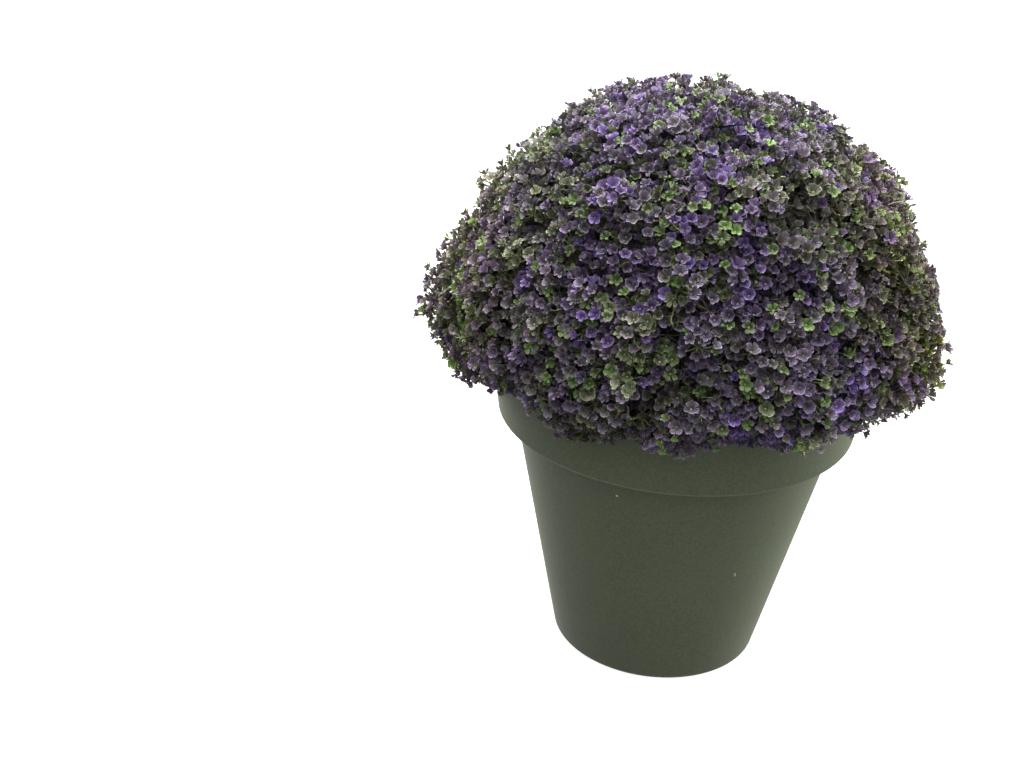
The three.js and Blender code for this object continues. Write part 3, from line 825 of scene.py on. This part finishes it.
# dark gaps between the flower heads: azimuth, polar angle, depth in mm
GAPS = np.array([
    [281, 69, 17], [277, 74, 15], [262, 72, 15], [291, 56, 15], [309, 76, 14], [278, 26, 12], [273, 60, 13],
    [270, 66, 12], [227, 77, 13], [313, 44, 12], [317, 60, 12], [306, 73, 11], [298, 61, 12], [269, 83, 11],
    [229, 69, 11], [276, 41, 11], [202, 74, 11], [266, 57, 10], [261, 88, 10], [239, 81, 10], [293, 63, 10],
    [240, 86, 9], [290, 46, 10], [226, 81, 8], [313, 79, 9], [291, 86, 9], [238, 66, 9], [246, 61, 8],
    [305, 62, 8], [245, 84, 7], [251, 53, 8], [217, 86, 8], [326, 65, 9], [288, 71, 8], [208, 62, 9], [222, 54, 7],
    [252, 36, 7], [330, 74, 9], [300, 90, 8], [320, 90, 9], [256, 95, 7], [280, 95, 7]], float)
# broad swells and hollows over the sprays' own shape: azimuth, polar angle, height in mm, width in radians
SWELLS = [(18, 58, 8, 0.17), (44, 36, 5, 0.13), (30, 46, -3, 0.06), (132, 34, 6, 0.13), (345, 93, 13, 0.15), (338, 98, -7, 0.1), (355, 72, 9, 0.14), (187, 87, 2, 0.12), (180, 73, -8, 0.1), (173, 61, 4, 0.08),
          (190, 100, -7, 0.14), (316, 62, -5, 0.14), (300, 50, -4, 0.1), (312, 78, -4, 0.12), (222, 76, -5, 0.12),
          (236, 88, -4, 0.12), (335, 66, 4, 0.18), (262, 40, 3, 0.25), (252, 68, 3, 0.15), (281, 66, -5, 0.1)]
AIRY = (188, 92, 15)  # the loose side of the mound: azimuth, polar angle, width in degrees
# where the flowers' lower edge runs a little higher: azimuth, width and rise in degrees
TRIMS = [(334, 16, 4.6), (240, 12, -3.6), (196, 9, 2.4)]


def scatter(count, gap, margin, above=1.0, g=None):
    """Directions spread over the mound so that the surface points are no nearer than gap."""
    g = rng if g is None else g
    z = g.uniform(math.cos(math.radians(113)), above, count)
    a = g.uniform(0, 2 * np.pi, count)
    s = np.sqrt(1 - z * z)
    v = np.stack([s * np.cos(a), s * np.sin(a), z], -1)
    az = np.degrees(np.arctan2(v[:, 1], v[:, 0])) % 360
    trim = margin + sum(up * np.exp(-(((az - mid) / wide) ** 2)) for mid, wide, up in TRIMS)
    v = v[np.degrees(np.arccos(v[:, 2])) < skirt_at(v) - trim]
    p = at(v, outside(v))
    keep = thin_out(p, gap)
    return v[keep], p[keep]


def nearest(p, q):
    """For each point of p the index of the nearest of q."""
    out = np.empty(len(p), int)
    for a in range(0, len(p), 400):
        out[a:a + 400] = ((p[a:a + 400, None] - q[None]) ** 2).sum(-1).argmin(1)
    return out


hub_v, hub_p = scatter(30000, HUB_GAP, 2.0)
flo_v, flo_p = scatter(190000, FLORET_GAP, 0.2)
# smaller ones, closer together, along the lower edge and on both flanks
FLANKS = [(188, 91, 13), (352, 70, 16)]


def small_there(v):
    return np.any([np.degrees(np.arccos(np.clip(v @ unit(az, pol), -1, 1))) < wide for az, pol, wide in FLANKS], axis=0)


edge_v, edge_p = scatter(150000, 3.7, 0.0, math.cos(math.radians(50)), np.random.default_rng(77))
kept = (skirt_at(edge_v) - np.degrees(np.arccos(edge_v[:, 2])) < 7.5) | small_there(edge_v)
was = (skirt_at(flo_v) - np.degrees(np.arccos(flo_v[:, 2])) > 7.5) & ~small_there(flo_v)
flo_v, flo_p = np.concatenate([flo_v[was], edge_v[kept]]), np.concatenate([flo_p[was], edge_p[kept]])
gap_v, gap_p = scatter(9000, 34.0, 6.0)
front = (np.abs((np.degrees(np.arctan2(gap_v[:, 1], gap_v[:, 0])) - 268 + 180) % 360 - 180) < 70) & (gap_v[:, 2] < 0.9)
gap_v = np.concatenate([gap_v[~front], unit(GAPS[:, 0], GAPS[:, 1])])
gap_p = at(gap_v, outside(gap_v))
gap_size = rng.uniform(6, 10, len(gap_v))
gap_deep = np.concatenate([rng.uniform(6, 15, (~front).sum()), GAPS[:, 2]])
N = len(flo_v)
near_hub = nearest(flo_p, hub_p)


def relief(p):
    """How much the mound's surface stands out or lies back at p, in clumps and dark gaps."""
    v = normed(p - [0, 0, MOUND_Z])
    r = 2.1 * wobble(p, 60, 16, 50) + 2.7 * wobble(p, 34, 16, 51) + 0.9 * wobble(p, 20, 16, 52)
    for az, pol, high, wide in SWELLS:
        r = r + high * np.exp(-((np.arccos(np.clip(v @ unit(az, pol), -1, 1)) / wide) ** 2))
    for c, size, deep in zip(gap_p, gap_size, gap_deep):
        r = r - deep * np.exp(-((p - c) ** 2).sum(1) / size ** 2)
    return r


def in_gap(p):
    """1 in the middle of a dark gap, falling to 0 around it."""
    w = np.zeros(len(p))
    for c, size, deep in zip(gap_p, gap_size, gap_deep):
        w = np.maximum(w, min(1.0, deep / 11) * np.exp(-((p - c) ** 2).sum(1) / (size * 0.8) ** 2))
    return w


def airy(v):
    return np.exp(-((np.degrees(np.arccos(np.clip(v @ unit(AIRY[0], AIRY[1]), -1, 1))) / AIRY[2]) ** 2))


hub_out = rng.normal(0, 1.5, len(hub_v)) + relief(hub_p)
hub_lean = normed(hub_v + rng.normal(0, 0.13, hub_v.shape))
hub_r = outside(hub_v)
hub_pos = at(hub_v, hub_r - HUB_DEPTH + hub_out)

# levels keep neighbours from standing in each other
level = np.zeros(N, int)
near = near_pairs(flo_p, LEVEL_GAP)
done = np.zeros(N, bool)
for i in rng.permutation(N):
    used = set(level[j] for j in near[i] if done[j])
    k = 0
    while k in used:
        k += 1
    level[i] = k
    done[i] = True
level = np.minimum(level, 4)

keep = rng.uniform(size=N) > np.where(level > 1, 0.3, 0.04) * airy(flo_v) + 0.75 * in_gap(flo_p) * (level < 3)
flo_v, flo_p, level, near_hub, N = flo_v[keep], flo_p[keep], level[keep], near_hub[keep], int(keep.sum())
lateral = np.linalg.norm(flo_p - hub_p[near_hub], axis=1)
dome = 1.8 - 0.03 * lateral ** 2
lift = dome + hub_out[near_hub] - level * LEVEL_DROP + rng.normal(0, 0.9, N)
proud = (level == 0) & (rng.uniform(size=N) < 0.08 * (1 - airy(flo_v)) * (1 - 0.85 * small_there(flo_v)))
lift[proud] += rng.uniform(1.2, 4, proud.sum())
lift = np.where(small_there(flo_v) > 0.4, np.minimum(lift, 2.0), lift)
for az, pol, up in ((84, 24, 8),):
    one = np.argmax(flo_v @ unit(az, pol) - (level > 0))
    lift[one], proud[one] = up, True
base_r = outside(flo_v) - 3.6 + lift


def off_the_collar(p, least):
    low = p[:, 2] < POT_H + 7
    flat = np.hypot(p[:, 0], p[:, 1])
    push = np.where(low & (flat < RIM_R + least), (RIM_R + least) / flat, 1.0)
    p[:, :2] *= push[:, None]
    return p


base = off_the_collar(at(flo_v, base_r), 4.5)

# each looks away from its hub, a little upwards, and not quite straight
away = normed(base - hub_pos[near_hub])
polar = np.degrees(np.arccos(flo_v[:, 2]))
low = skirt_at(flo_v) - polar  # degrees above the lower edge, where they droop
lift_up = np.interp(polar, [0, 40, 80, 94, 112], [0.0, 0.35, 0.35, 0.05, -0.5]) - np.interp(low, [0, 4, 9], [1.25, 0.8, 0.0])
lift_up = lift_up + 0.3 * proud
axis = normed(0.7 * away + 0.55 * flo_v + lift_up[:, None] * np.array([0, 0, 1.0])
              + rng.normal(0, 0.3, (N, 3)) * (1 + 1.2 * smooth((9 - low) / 3))[:, None])
size = 1 - 0.3 * smooth((10 - low) / 4) * (1 - 0.7 * airy(flo_v)) - 0.2 * small_there(flo_v)

# florets deeper in, which show only as dark shapes in the gaps
deep_v, deep_level = [], []
for down, gap, margin in ((13.0, DEEP_GAP, 1.0), (20.0, DEEP_GAP, 3.0), (27.0, 7.4, 6.0)):
    v, p = scatter(90000, gap, margin)
    keep = rng.uniform(size=len(v)) > (0.4 if down < 25 else 0.15) * airy(v) + 0.6 * in_gap(p) * (down < 15)
    deep_v.append(v[keep])
    deep_level.append(np.full(int(keep.sum()), down))
deep_v, deep_level = np.concatenate(deep_v), np.concatenate(deep_level)
deep_p = at(deep_v, outside(deep_v))
D = len(deep_v)
deep_relief = relief(deep_p)
deep_down = deep_level + rng.normal(0, 1.8, D) - 0.5 * np.minimum(deep_relief, 0) - 0.8 * np.maximum(deep_relief, 0)
deep_base = off_the_collar(at(deep_v, np.maximum(outside(deep_v) - deep_down, inside(deep_v) - 4)), 3.0)
deep_hub = nearest(deep_p, hub_p)
deep_axis = normed(deep_v + rng.normal(0, 0.45, (D, 3)))

spray_of = angles_to_seeds(flo_v).argmin(1)
deep_spray = angles_to_seeds(deep_v).argmin(1)
hub_spray = angles_to_seeds(hub_v).argmin(1)

# ------------------------------------------------------------------ colours over the mound
# tone runs from fresh green through olive and mauve to violet
PATCHES = [  # azimuth, polar angle, radius in degrees, and how much violet, green and painted light (below zero, painted shade) it adds
    (253, 65, 10, 0.3, 0.0, 0.0), (247, 78, 9, 0.35, 0.0, 0.0), (278, 60, 7, 0.32, 0.0, 0.0), (227, 28, 12, 0.32, 0.12, 0.0),
    (276, 86, 9, 0.3, 0.0, 0.0), (319, 21, 12, 0.4, 0.0, 0.0), (294, 75, 10, 0.3, 0.0, 0.0), (280, 27, 12, 0.35, 0.0, 0.0),
    (243, 49, 10, 0.24, 0.08, 0.0), (236, 68, 8, 0.25, 0.0, 0.0), (303, 82, 9, 0.08, 0.0, 0.0),
    (331, 79, 13, -0.35, 0.28, -0.40), (326, 58, 15, -0.33, 0.16, -0.35), (280, 43, 9, -0.25, 0.0, 0.0),
    (215, 85, 12, -0.35, 0.0, 0.12), (203, 92, 10, -0.3, 0.0, 0.0), (201, 82, 9, -0.25, 0.0, 0.0),
    (319, 46, 12, -0.35, 0.0, 0.0), (262, 46, 7, -0.2, 0.0, 0.0), (193, 51, 8, -0.25, 0.0, 0.0),
    (263, 75, 6, -0.1, 0.35, 0.0), (263, 29, 6, 0.0, 0.3, 0.0), (281, 42, 6, 0.0, 0.3, 0.0), (273, 49, 7, 0.0, 0.25, 0.0),
    (214, 84, 7, 0.0, 0.25, 0.0), (194, 51, 7, 0.0, 0.25, 0.0), (286, 83, 8, 0.0, 0.2, 0.0), (308, 10, 7, 0.0, 0.2, 0.0),
    (224, 45, 7, 0.0, 0.15, 0.0), (310, 66, 8, 0.0, 0.15, 0.0), (250, 8, 24, 0.2, 0.04, 0.16), (30, 40, 22, 0.2, 0.0, 0.0),
    (60, 62, 20, 0.3, 0.0, 0.0), (110, 75, 20, -0.3, 0.06, 0.0), (20, 84, 14, 0.2, 0.04, 0.0), (150, 70, 16, 0.25, 0.02, 0.0),
    (250, 22, 24, 0.13, 0.1, 0.06), (270, 78, 24, 0.0, 0.09, 0.0), (205, 84, 14, -0.06, 0.38, 0.34), (346, 70, 13, 0.0, 0.0, -0.08),
    (272, 101, 9, 0.0, 0.05, 0.48), (252, 101, 8, 0.0, 0.05, 0.46), (294, 101, 9, 0.0, 0.0, 0.2), (270, 54, 14, 0.22, 0.0, 0.0), (340, 84, 9, -0.25, 0.6, 0.1), (272, 87, 13, 0.12, 0.04, -0.3), (262, 66, 12, 0, 0, -0.04),
    (326, 57, 9, 0.0, 0.4, 0.0), (343, 47, 8, 0.45, 0.0, 0.05), (338, 96, 7, 0.5, 0.0, 0.0), (310, 90, 14, 0.1, 0.0, 0.06), (225, 98, 14, 0.3, -0.03, 0.05), (84, 30, 16, -0.2, 0.08, 0.0), (130, 100, 16, 0.1, 0.1, 0.0), (70, 92, 16, -0.1, 0.1, 0.0)]


def region(v):
    violet, green, light = (np.zeros(len(v)) for _ in range(3))
    for az, pol, size, dv, dg, dl in PATCHES:
        w = np.exp(-((np.degrees(np.arccos(np.clip(v @ unit(az, pol), -1, 1))) / size) ** 2))
        violet, green, light = violet + w * dv, green + w * dg, light + w * dl
    return violet + 0.22 * wobble(v, 0.7, 12, 31), green + 0.04 * wobble(v, 0.6, 12, 32), light


def tones(v, pick):
    violet, green, _ = region(v)
    p_green = np.clip(0.25 + 0.6 * green, 0.06, 0.5)
    p_violet = np.clip(0.29 + violet, 0.04, 0.94)
    p_violet = np.minimum(p_violet, 1 - p_green)
    a, b = rng.uniform(size=len(v)), rng.uniform(size=len(v))
    left = np.exp(-((np.degrees(np.arccos(np.clip(v @ unit(197, 80), -1, 1))) / 26) ** 2))
    out = 0.215 + 0.36 * b + 0.03 * left  # olive to dusky mauve
    out = np.where(pick < p_green, 0.22 * a, out)
    out = np.where(pick > 1 - p_violet, 0.55 + 0.45 * a ** 1.8, out)
    return out


hub_tone = tones(hub_v, rng.uniform(size=len(hub_v)))
own_tone = tones(flo_v, rng.uniform(size=N))
follow = (rng.uniform(size=N) < 0.7 * (1 - 2 * np.clip(region(flo_v)[1] - 0.15, 0, 0.5))) & (hub_tone[near_hub] > 0.22)
tone = np.clip(np.where(follow, hub_tone[near_hub] + rng.normal(0, 0.04, N), own_tone), 0, 1)
# how light each floret's colour is: random per floret, per flower head and in clumps, with painted shade where the
# surface lies back, painted light where it stands out, and the patches' painted light and shade
bright = np.exp(rng.normal(-0.01, 0.16, N) + rng.normal(0, 0.17, len(hub_v))[near_hub] + 0.23 * wobble(flo_p, 34, 16, 61) + 0.04 * np.clip(relief(flo_p), -4, 3)) * (1 + region(flo_v)[2])
bright = np.clip(bright, 0.66, 1.6)
deep_tone = np.clip(hub_tone[deep_hub] + rng.normal(0, 0.1, D), 0.26, 1)

# ------------------------------------------------------------------ floret shape
# a petal seen flat, as shares of its reach: how far out its rows are and how wide they are
FINE = (np.array([0.13, 0.36, 0.60, 0.80, 0.94]), np.array([0.10, 0.27, 0.42, 0.44, 0.28]))
MID = (np.array([0.13, 0.42, 0.72, 0.94]), np.array([0.10, 0.31, 0.45, 0.28]))
COARSE = (np.array([0.13, 0.62, 0.92]), np.array([0.10, 0.44, 0.32]))
ROUGH = (np.array([0.10, 0.80]), np.array([0.12, 0.46]))


def florets(hue, petal, seed):
    """Cupped florets of five hollowed petals: vertices (n, V, 3), triangles (T, 3), how far along and across a petal
    each vertex is, and flat places for the map."""
    rows, wide = petal
    n, k = len(hue), len(rows)
    g = np.random.default_rng(seed)
    one, each = (n, 1, 1, 1), (n, 5, 1, 1)
    hue = hue.reshape(one)
    closed = g.uniform(size=one) < 0.12
    reach = FLORET_R * np.exp(g.normal(0, 0.11, one)) * np.where(closed, 0.72, 1.0)
    depth = np.where(closed, g.uniform(4.2, 5.2, one), g.uniform(3.4, 5.2, one))
    broad = np.where(hue < 0.22, g.uniform(0.78, 0.96, one), g.uniform(0.84, 1.08, one))
    bowl, flare, spoon = g.uniform(1.0, 1.6, one), g.uniform(0.2, 1.6, one) + 0.8 * (hue < 0.22), g.uniform(0.5, 1.8, one)
    longer, lift = 1 + g.normal(0, 0.07, each), g.normal(0, 0.7, each)
    twist, swing = g.normal(0, 0.2, each), g.normal(0, 0.06, each)
    across = np.broadcast_to(np.array([-1.0, 0, 1.0]), (1, 1, k, 3))
    along = np.broadcast_to(rows[:, None], (1, 1, k, 3)).copy()
    along[..., -1, 1] = 1.0
    w = wide[None, None, :, None]
    x, y = along * reach * longer, across * w * reach * broad
    z = depth * along ** bowl + lift * along ** 2 - flare * np.clip((along - 0.7) / 0.3, 0, 1)
    z = z + w / 0.44 * (np.abs(across) * spoon + across * 0.35) + twist * y
    a = (np.arange(5) / 5 * 2 * np.pi).reshape(1, 5, 1, 1)
    b = a + swing + g.uniform(0, 2 * np.pi, one)
    verts = np.stack([x * np.cos(b) - y * np.sin(b), x * np.sin(b) + y * np.cos(b), z + 0 * b], -1).reshape(n, -1, 3)
    flat_x, flat_y = along * 0.8 + 0 * a, across * w * 0.72 + 0 * a
    places = np.stack([flat_x * np.cos(a) - flat_y * np.sin(a), flat_x * np.sin(a) + flat_y * np.cos(a)], -1).reshape(-1, 2)
    tris = []
    for petal_no in range(5):
        for i in range(k - 1):
            for j in range(2):
                p = (petal_no * k + i) * 3 + j
                q = p + 3
                tris += [(p, q, q + 1), (p, q + 1, p + 1)] if j == 0 else [(p, q, p + 1), (q, q + 1, p + 1)]
    full = (n, 5, k, 3)
    return (verts, np.array(tris), np.broadcast_to(along, full).ravel(), np.broadcast_to(across, full).ravel(),
            np.broadcast_to(places, (n,) + places.shape))


def stood(verts, where, way, g):
    """Turns florets' own coordinates to their places."""
    x = normed(np.cross(way, normed(g.normal(size=way.shape))))
    y = np.cross(way, x)
    return (where[:, None] + verts[..., 0:1] * x[:, None] + verts[..., 1:2] * y[:, None]
            + verts[..., 2:3] * way[:, None])


# the glossy dot in a floret's middle: a small dome of five sides
dot_a = np.arange(5) / 5 * 2 * np.pi
DOT = np.concatenate([[[0, 0, 0.95]], np.stack([0.85 * np.cos(dot_a), 0.85 * np.sin(dot_a), np.full(5, 0.05)], -1)])
DOT_T = np.array([(0, 1 + k, 1 + (k + 1) % 5) for k in range(5)])

# a shut bud: a spindle of five sides
bud_z, bud_r = np.array([0, 1.0, 2.4, 3.6, 4.3]), np.array([0.3, 0.95, 1.05, 0.6, 0.08])
BUD = np.stack([bud_r[:, None] * np.cos(dot_a), bud_r[:, None] * np.sin(dot_a), np.broadcast_to(bud_z[:, None], (5, 5))],
               -1).reshape(-1, 3)
BUD_T = np.array([t for i in range(4) for j in range(5) for t in
                  ((i * 5 + j, i * 5 + (j + 1) % 5, (i + 1) * 5 + (j + 1) % 5),
                   (i * 5 + j, (i + 1) * 5 + (j + 1) % 5, (i + 1) * 5 + j))])

# sprigs that stand out of the mound, curled, most of them with a bud or two
# sprigs that show in the photograph: azimuth, polar angle, length
SPRIGS = np.array([[351, 56.6, 26], [346, 50.5, 19], [342, 67.5, 21], [254.6, 100, 10], [269.4, 98, 10],
                   [299.4, 98.5, 9]])
sprig_v, _ = scatter(3000, 58.0, 2.0)
sprig_az = np.degrees(np.arctan2(sprig_v[:, 1], sprig_v[:, 0])) % 360
sprig_v = sprig_v[(sprig_v[:, 2] > 0.3) | ((sprig_az > 30) & (sprig_az < 150))]
drawn = len(SPRIGS)
sprig_v = np.concatenate([unit(SPRIGS[:, 0], SPRIGS[:, 1]), sprig_v])
S = len(sprig_v)
sprig_polar = np.degrees(np.arccos(sprig_v[:, 2]))
hanging = sprig_polar > 92
sprig_from = at(sprig_v, outside(sprig_v) - 9 + relief(at(sprig_v, outside(sprig_v))))
sprig_from = off_the_collar(sprig_from, 3.0)
sprig_way = normed(sprig_v + rng.normal(0, 0.3, (S, 3)) + np.where(hanging, -0.35, 0.25)[:, None] * [0, 0, 1.0])
sprig_long = rng.uniform(9, 14, S) - 3 * hanging
sprig_long[:drawn] = SPRIGS[:, 2]
turn_way = normed(np.cross(sprig_way, rng.normal(size=(S, 3))))
sprig_to = sprig_from + sprig_way * sprig_long[:, None] + turn_way * rng.uniform(1, 5, (S, 1)) - [0, 0, 1.5]
sprig_knee = sprig_from + sprig_way * sprig_long[:, None] * 0.75 - turn_way * rng.uniform(0, 3, (S, 1))
sprig_lead = sprig_from + sprig_way * sprig_long[:, None] * 0.35
budded = (rng.uniform(size=S) < 0.75) & ((np.arange(S) >= drawn) | ~hanging)
bud_way = normed(normed(sprig_to - sprig_knee) + rng.normal(0, 0.4, (S, 3)) - [0, 0, 0.5])
side_from = 0.5 * (sprig_knee + sprig_to)
side_way = normed(sprig_way - turn_way * 0.8 + rng.normal(0, 0.3, (S, 3)))
side_to = side_from + side_way * rng.uniform(3, 6, (S, 1))
sided = budded & (rng.uniform(size=S) < 0.5)
sprig_tone = tones(sprig_v, rng.uniform(size=S))
sprig_spray = angles_to_seeds(sprig_v).argmin(1)

made = []
for i in range(len(SPRAYS)):
    mine, deep = np.flatnonzero(spray_of == i), np.flatnonzero(deep_spray == i)
    heap, uvs, mat = Heap(), [], []
    ends = [(q, w[sprig_spray == i]) for q, w in ((sprig_to, bud_way), (side_to, side_way))]
    has = [budded[sprig_spray == i], sided[sprig_spray == i]]
    cells = math.ceil(math.sqrt(len(mine) + len(deep) + sum(int(h.sum()) for h in has)))
    slot_no = 0
    # painted shade: the florets below the third level get 0.9 of their lightness, and the florets deeper in get 0.58
    kinds = [(mine[level[mine] == 0], FINE, base, axis, tone, bright, size),
             (mine[level[mine] == 1], MID, base, axis, tone, bright, size),
             (mine[level[mine] == 2], COARSE, base, axis, tone, bright, size),
             (mine[level[mine] > 2], ROUGH, base, axis, tone, bright * 0.9, size),
             (deep, ROUGH, deep_base, deep_axis, deep_tone, np.full(D, 0.58), np.where(deep_level > 25, 1.5, 1.25))]
    for no, (part, petal, where, way, hue, glow, grow) in enumerate(kinds):
        if not len(part):
            continue
        g = np.random.default_rng(1000 * (no + 1) + i)
        verts, tris, along, across, places = florets(hue[part], petal, 3000 * (no + 1) + i)
        n, V = verts.shape[:2]
        state = g.bit_generator.state
        world_v = stood(verts * grow[part][:, None, None], where[part], way[part], g)
        off = world_v - where[part][:, None]
        rise = off[..., 2] - (off * way[part][:, None]).sum(-1) * way[part][:, None, 2]
        lit = 1 - 0.22 * np.clip(rise / (FLORET_R * grow[part][:, None]), -1.1, 1.1)  # painted light and shade: the lower lobes lighter and the upper ones darker, as light from above would fall
        cell_no = slot_no + np.arange(n)
        slot_no += n
        corner = np.stack([cell_no % cells, cell_no // cells], -1)
        flat = (corner[:, None] + 0.5 + places * 0.48) / cells
        all_t = (tris[None] + (np.arange(n) * V)[:, None, None]).reshape(-1, 3)
        heap.add(world_v.reshape(-1, 3), all_t, tone=np.repeat(hue[part], V), shade=(glow[part][:, None] * lit).ravel(),
                 along=along, across=across)
        uvs.append(flat.reshape(-1, 2)[all_t])
        mat.append(np.zeros(len(all_t), int))
        if no < 2:
            g.bit_generator.state = state
            dots = stood(np.broadcast_to(DOT, (n, 6, 3)).copy(), where[part], way[part], g)
            dot_t = (DOT_T[None] + (np.arange(n) * 6)[:, None, None]).reshape(-1, 3)
            heap.add(dots.reshape(-1, 3), dot_t, tone=np.repeat(hue[part], 6), shade=np.repeat(glow[part], 6),
                     along=0.0, across=0.0)
            flat = (corner[:, None] + 0.5 + DOT[None, :, :2] / 0.85 * 0.07 * 0.48) / cells
            uvs.append(np.broadcast_to(flat, (n, 6, 2)).reshape(-1, 2)[dot_t])
            mat.append(np.ones(len(dot_t), int))
    for (q, w), yes in zip(ends, has):
        n = int(yes.sum())
        if n:
            verts = stood(np.broadcast_to(BUD, (n,) + BUD.shape), q[sprig_spray == i][yes], w[yes],
                          np.random.default_rng(70 + i))
            all_t = (BUD_T[None] + (np.arange(n) * len(BUD))[:, None, None]).reshape(-1, 3)
            heap.add(verts.reshape(-1, 3), all_t, tone=np.repeat(sprig_tone[sprig_spray == i][yes], len(BUD)), shade=1.0,
                     along=np.tile(BUD[:, 2] / 4.3, n), across=0.0)
            cell_no = slot_no + np.arange(n)
            slot_no += n
            corner = np.stack([cell_no % cells, cell_no // cells], -1)
            around = np.stack([np.tile(np.arange(5) / 5 + 0.1, 5), BUD[:, 2] / 4.5], -1) * 0.9
            flat = (corner[:, None] + around[None]) / cells
            uvs.append(flat.reshape(-1, 2)[all_t])
            mat.append(np.zeros(len(all_t), int))
    v, t, attrs = heap.arrays()
    ob = write_mesh(f"florets_{i + 1:02d}", v, t, attrs, np.concatenate(uvs), [m_petal, m_heart], np.concatenate(mat))
    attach(ob, "root")
    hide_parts(f"flower_spray_{i + 1:02d}")
    made.append(ob)


# ------------------------------------------------------------------ stalks
def clear_of_collar(path):
    """Moves the points of a path out of the pot's collar."""
    flat = np.hypot(path[..., 0], path[..., 1])
    out = np.where((path[..., 2] < POT_H + 3) & (flat < RIM_R + 2.2) & (flat > RIM_R - 14), (RIM_R + 2.2) / flat, 1.0)
    path[..., :2] *= out[..., None]
    return path


hub_pos = clear_of_collar(hub_pos.copy())
for i in range(len(SPRAYS)):
    heap = Heap()
    hubs = np.flatnonzero(hub_spray == i)
    n = len(hubs)
    start = np.broadcast_to(twig_end[i] - twig_aim[i] * 1.5, (n, 3))
    end = hub_pos[hubs]
    span = np.linalg.norm(end - start, axis=1, keepdims=True)
    path = bezier([start, start + twig_aim[i] * (0.25 * span + 2), end - hub_lean[hubs] * (0.35 * span), end], 4)
    path = clear_of_collar(path)
    s = np.linspace(0, 1, 5)
    v, t, along = tubes(path, np.broadcast_to(1.15 - 0.45 * s, (n, 5)), 4, cap_end=False)
    heap.add(v, t, along=along * 0.4)
    mine, deep = np.flatnonzero(spray_of == i), np.flatnonzero(deep_spray == i)
    for part, hub, where, way, steps in ((mine[level[mine] < 2], near_hub, base, axis, 3),
                                         (mine[level[mine] >= 2], near_hub, base, axis, 1),
                                         (deep, deep_hub, deep_base, deep_axis, 1)):
        start, end = hub_pos[hub[part]], where[part] - way[part] * 0.15
        span = np.linalg.norm(end - start, axis=1, keepdims=True)
        path = bezier([start, start + hub_lean[hub[part]] * 0.3 * span, end - way[part] * 0.4 * span, end], steps)
        path = clear_of_collar(path)
        size = np.linspace(0.62, 0.46, steps + 1)
        v, t, along = tubes(path, np.broadcast_to(size, (len(part), steps + 1)), 3, cap_end=False)
        heap.add(v, t, along=0.4 + along * 0.6)
    own = sprig_spray == i
    path = bezier([q[own] for q in (sprig_from, sprig_lead, sprig_knee, sprig_to)], 6)
    v, t, along = tubes(path, np.broadcast_to(np.linspace(0.65, 0.5, 7), (len(path), 7)), 3, cap_end=False)
    heap.add(v, t, along=0.5 + along * 0.5)
    both = own & sided
    if both.any():
        path = bezier([q[both] for q in (side_from, side_from + side_way * 1.2, side_to - side_way, side_to)], 2)
        v, t, along = tubes(path, np.broadcast_to(np.linspace(0.5, 0.42, 3), (len(path), 3)), 3, cap_end=False)
        heap.add(v, t, along=0.8 + along * 0.2)
    v, t, attrs = heap.arrays()
    ob = write_mesh(f"stalks_{i + 1:02d}", v, t, attrs, mats=[m_stalk])
    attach(ob, "root")
    made.append(ob)

total = sum(len(o.data.polygons) for o in bpy.data.objects if o.type == "MESH" and "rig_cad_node" not in o)
print("florets", N, "hubs", len(hub_v), "levels", np.bincount(level).tolist(), "faces", total,
      "largest", max(len(o.data.polygons) for o in made))
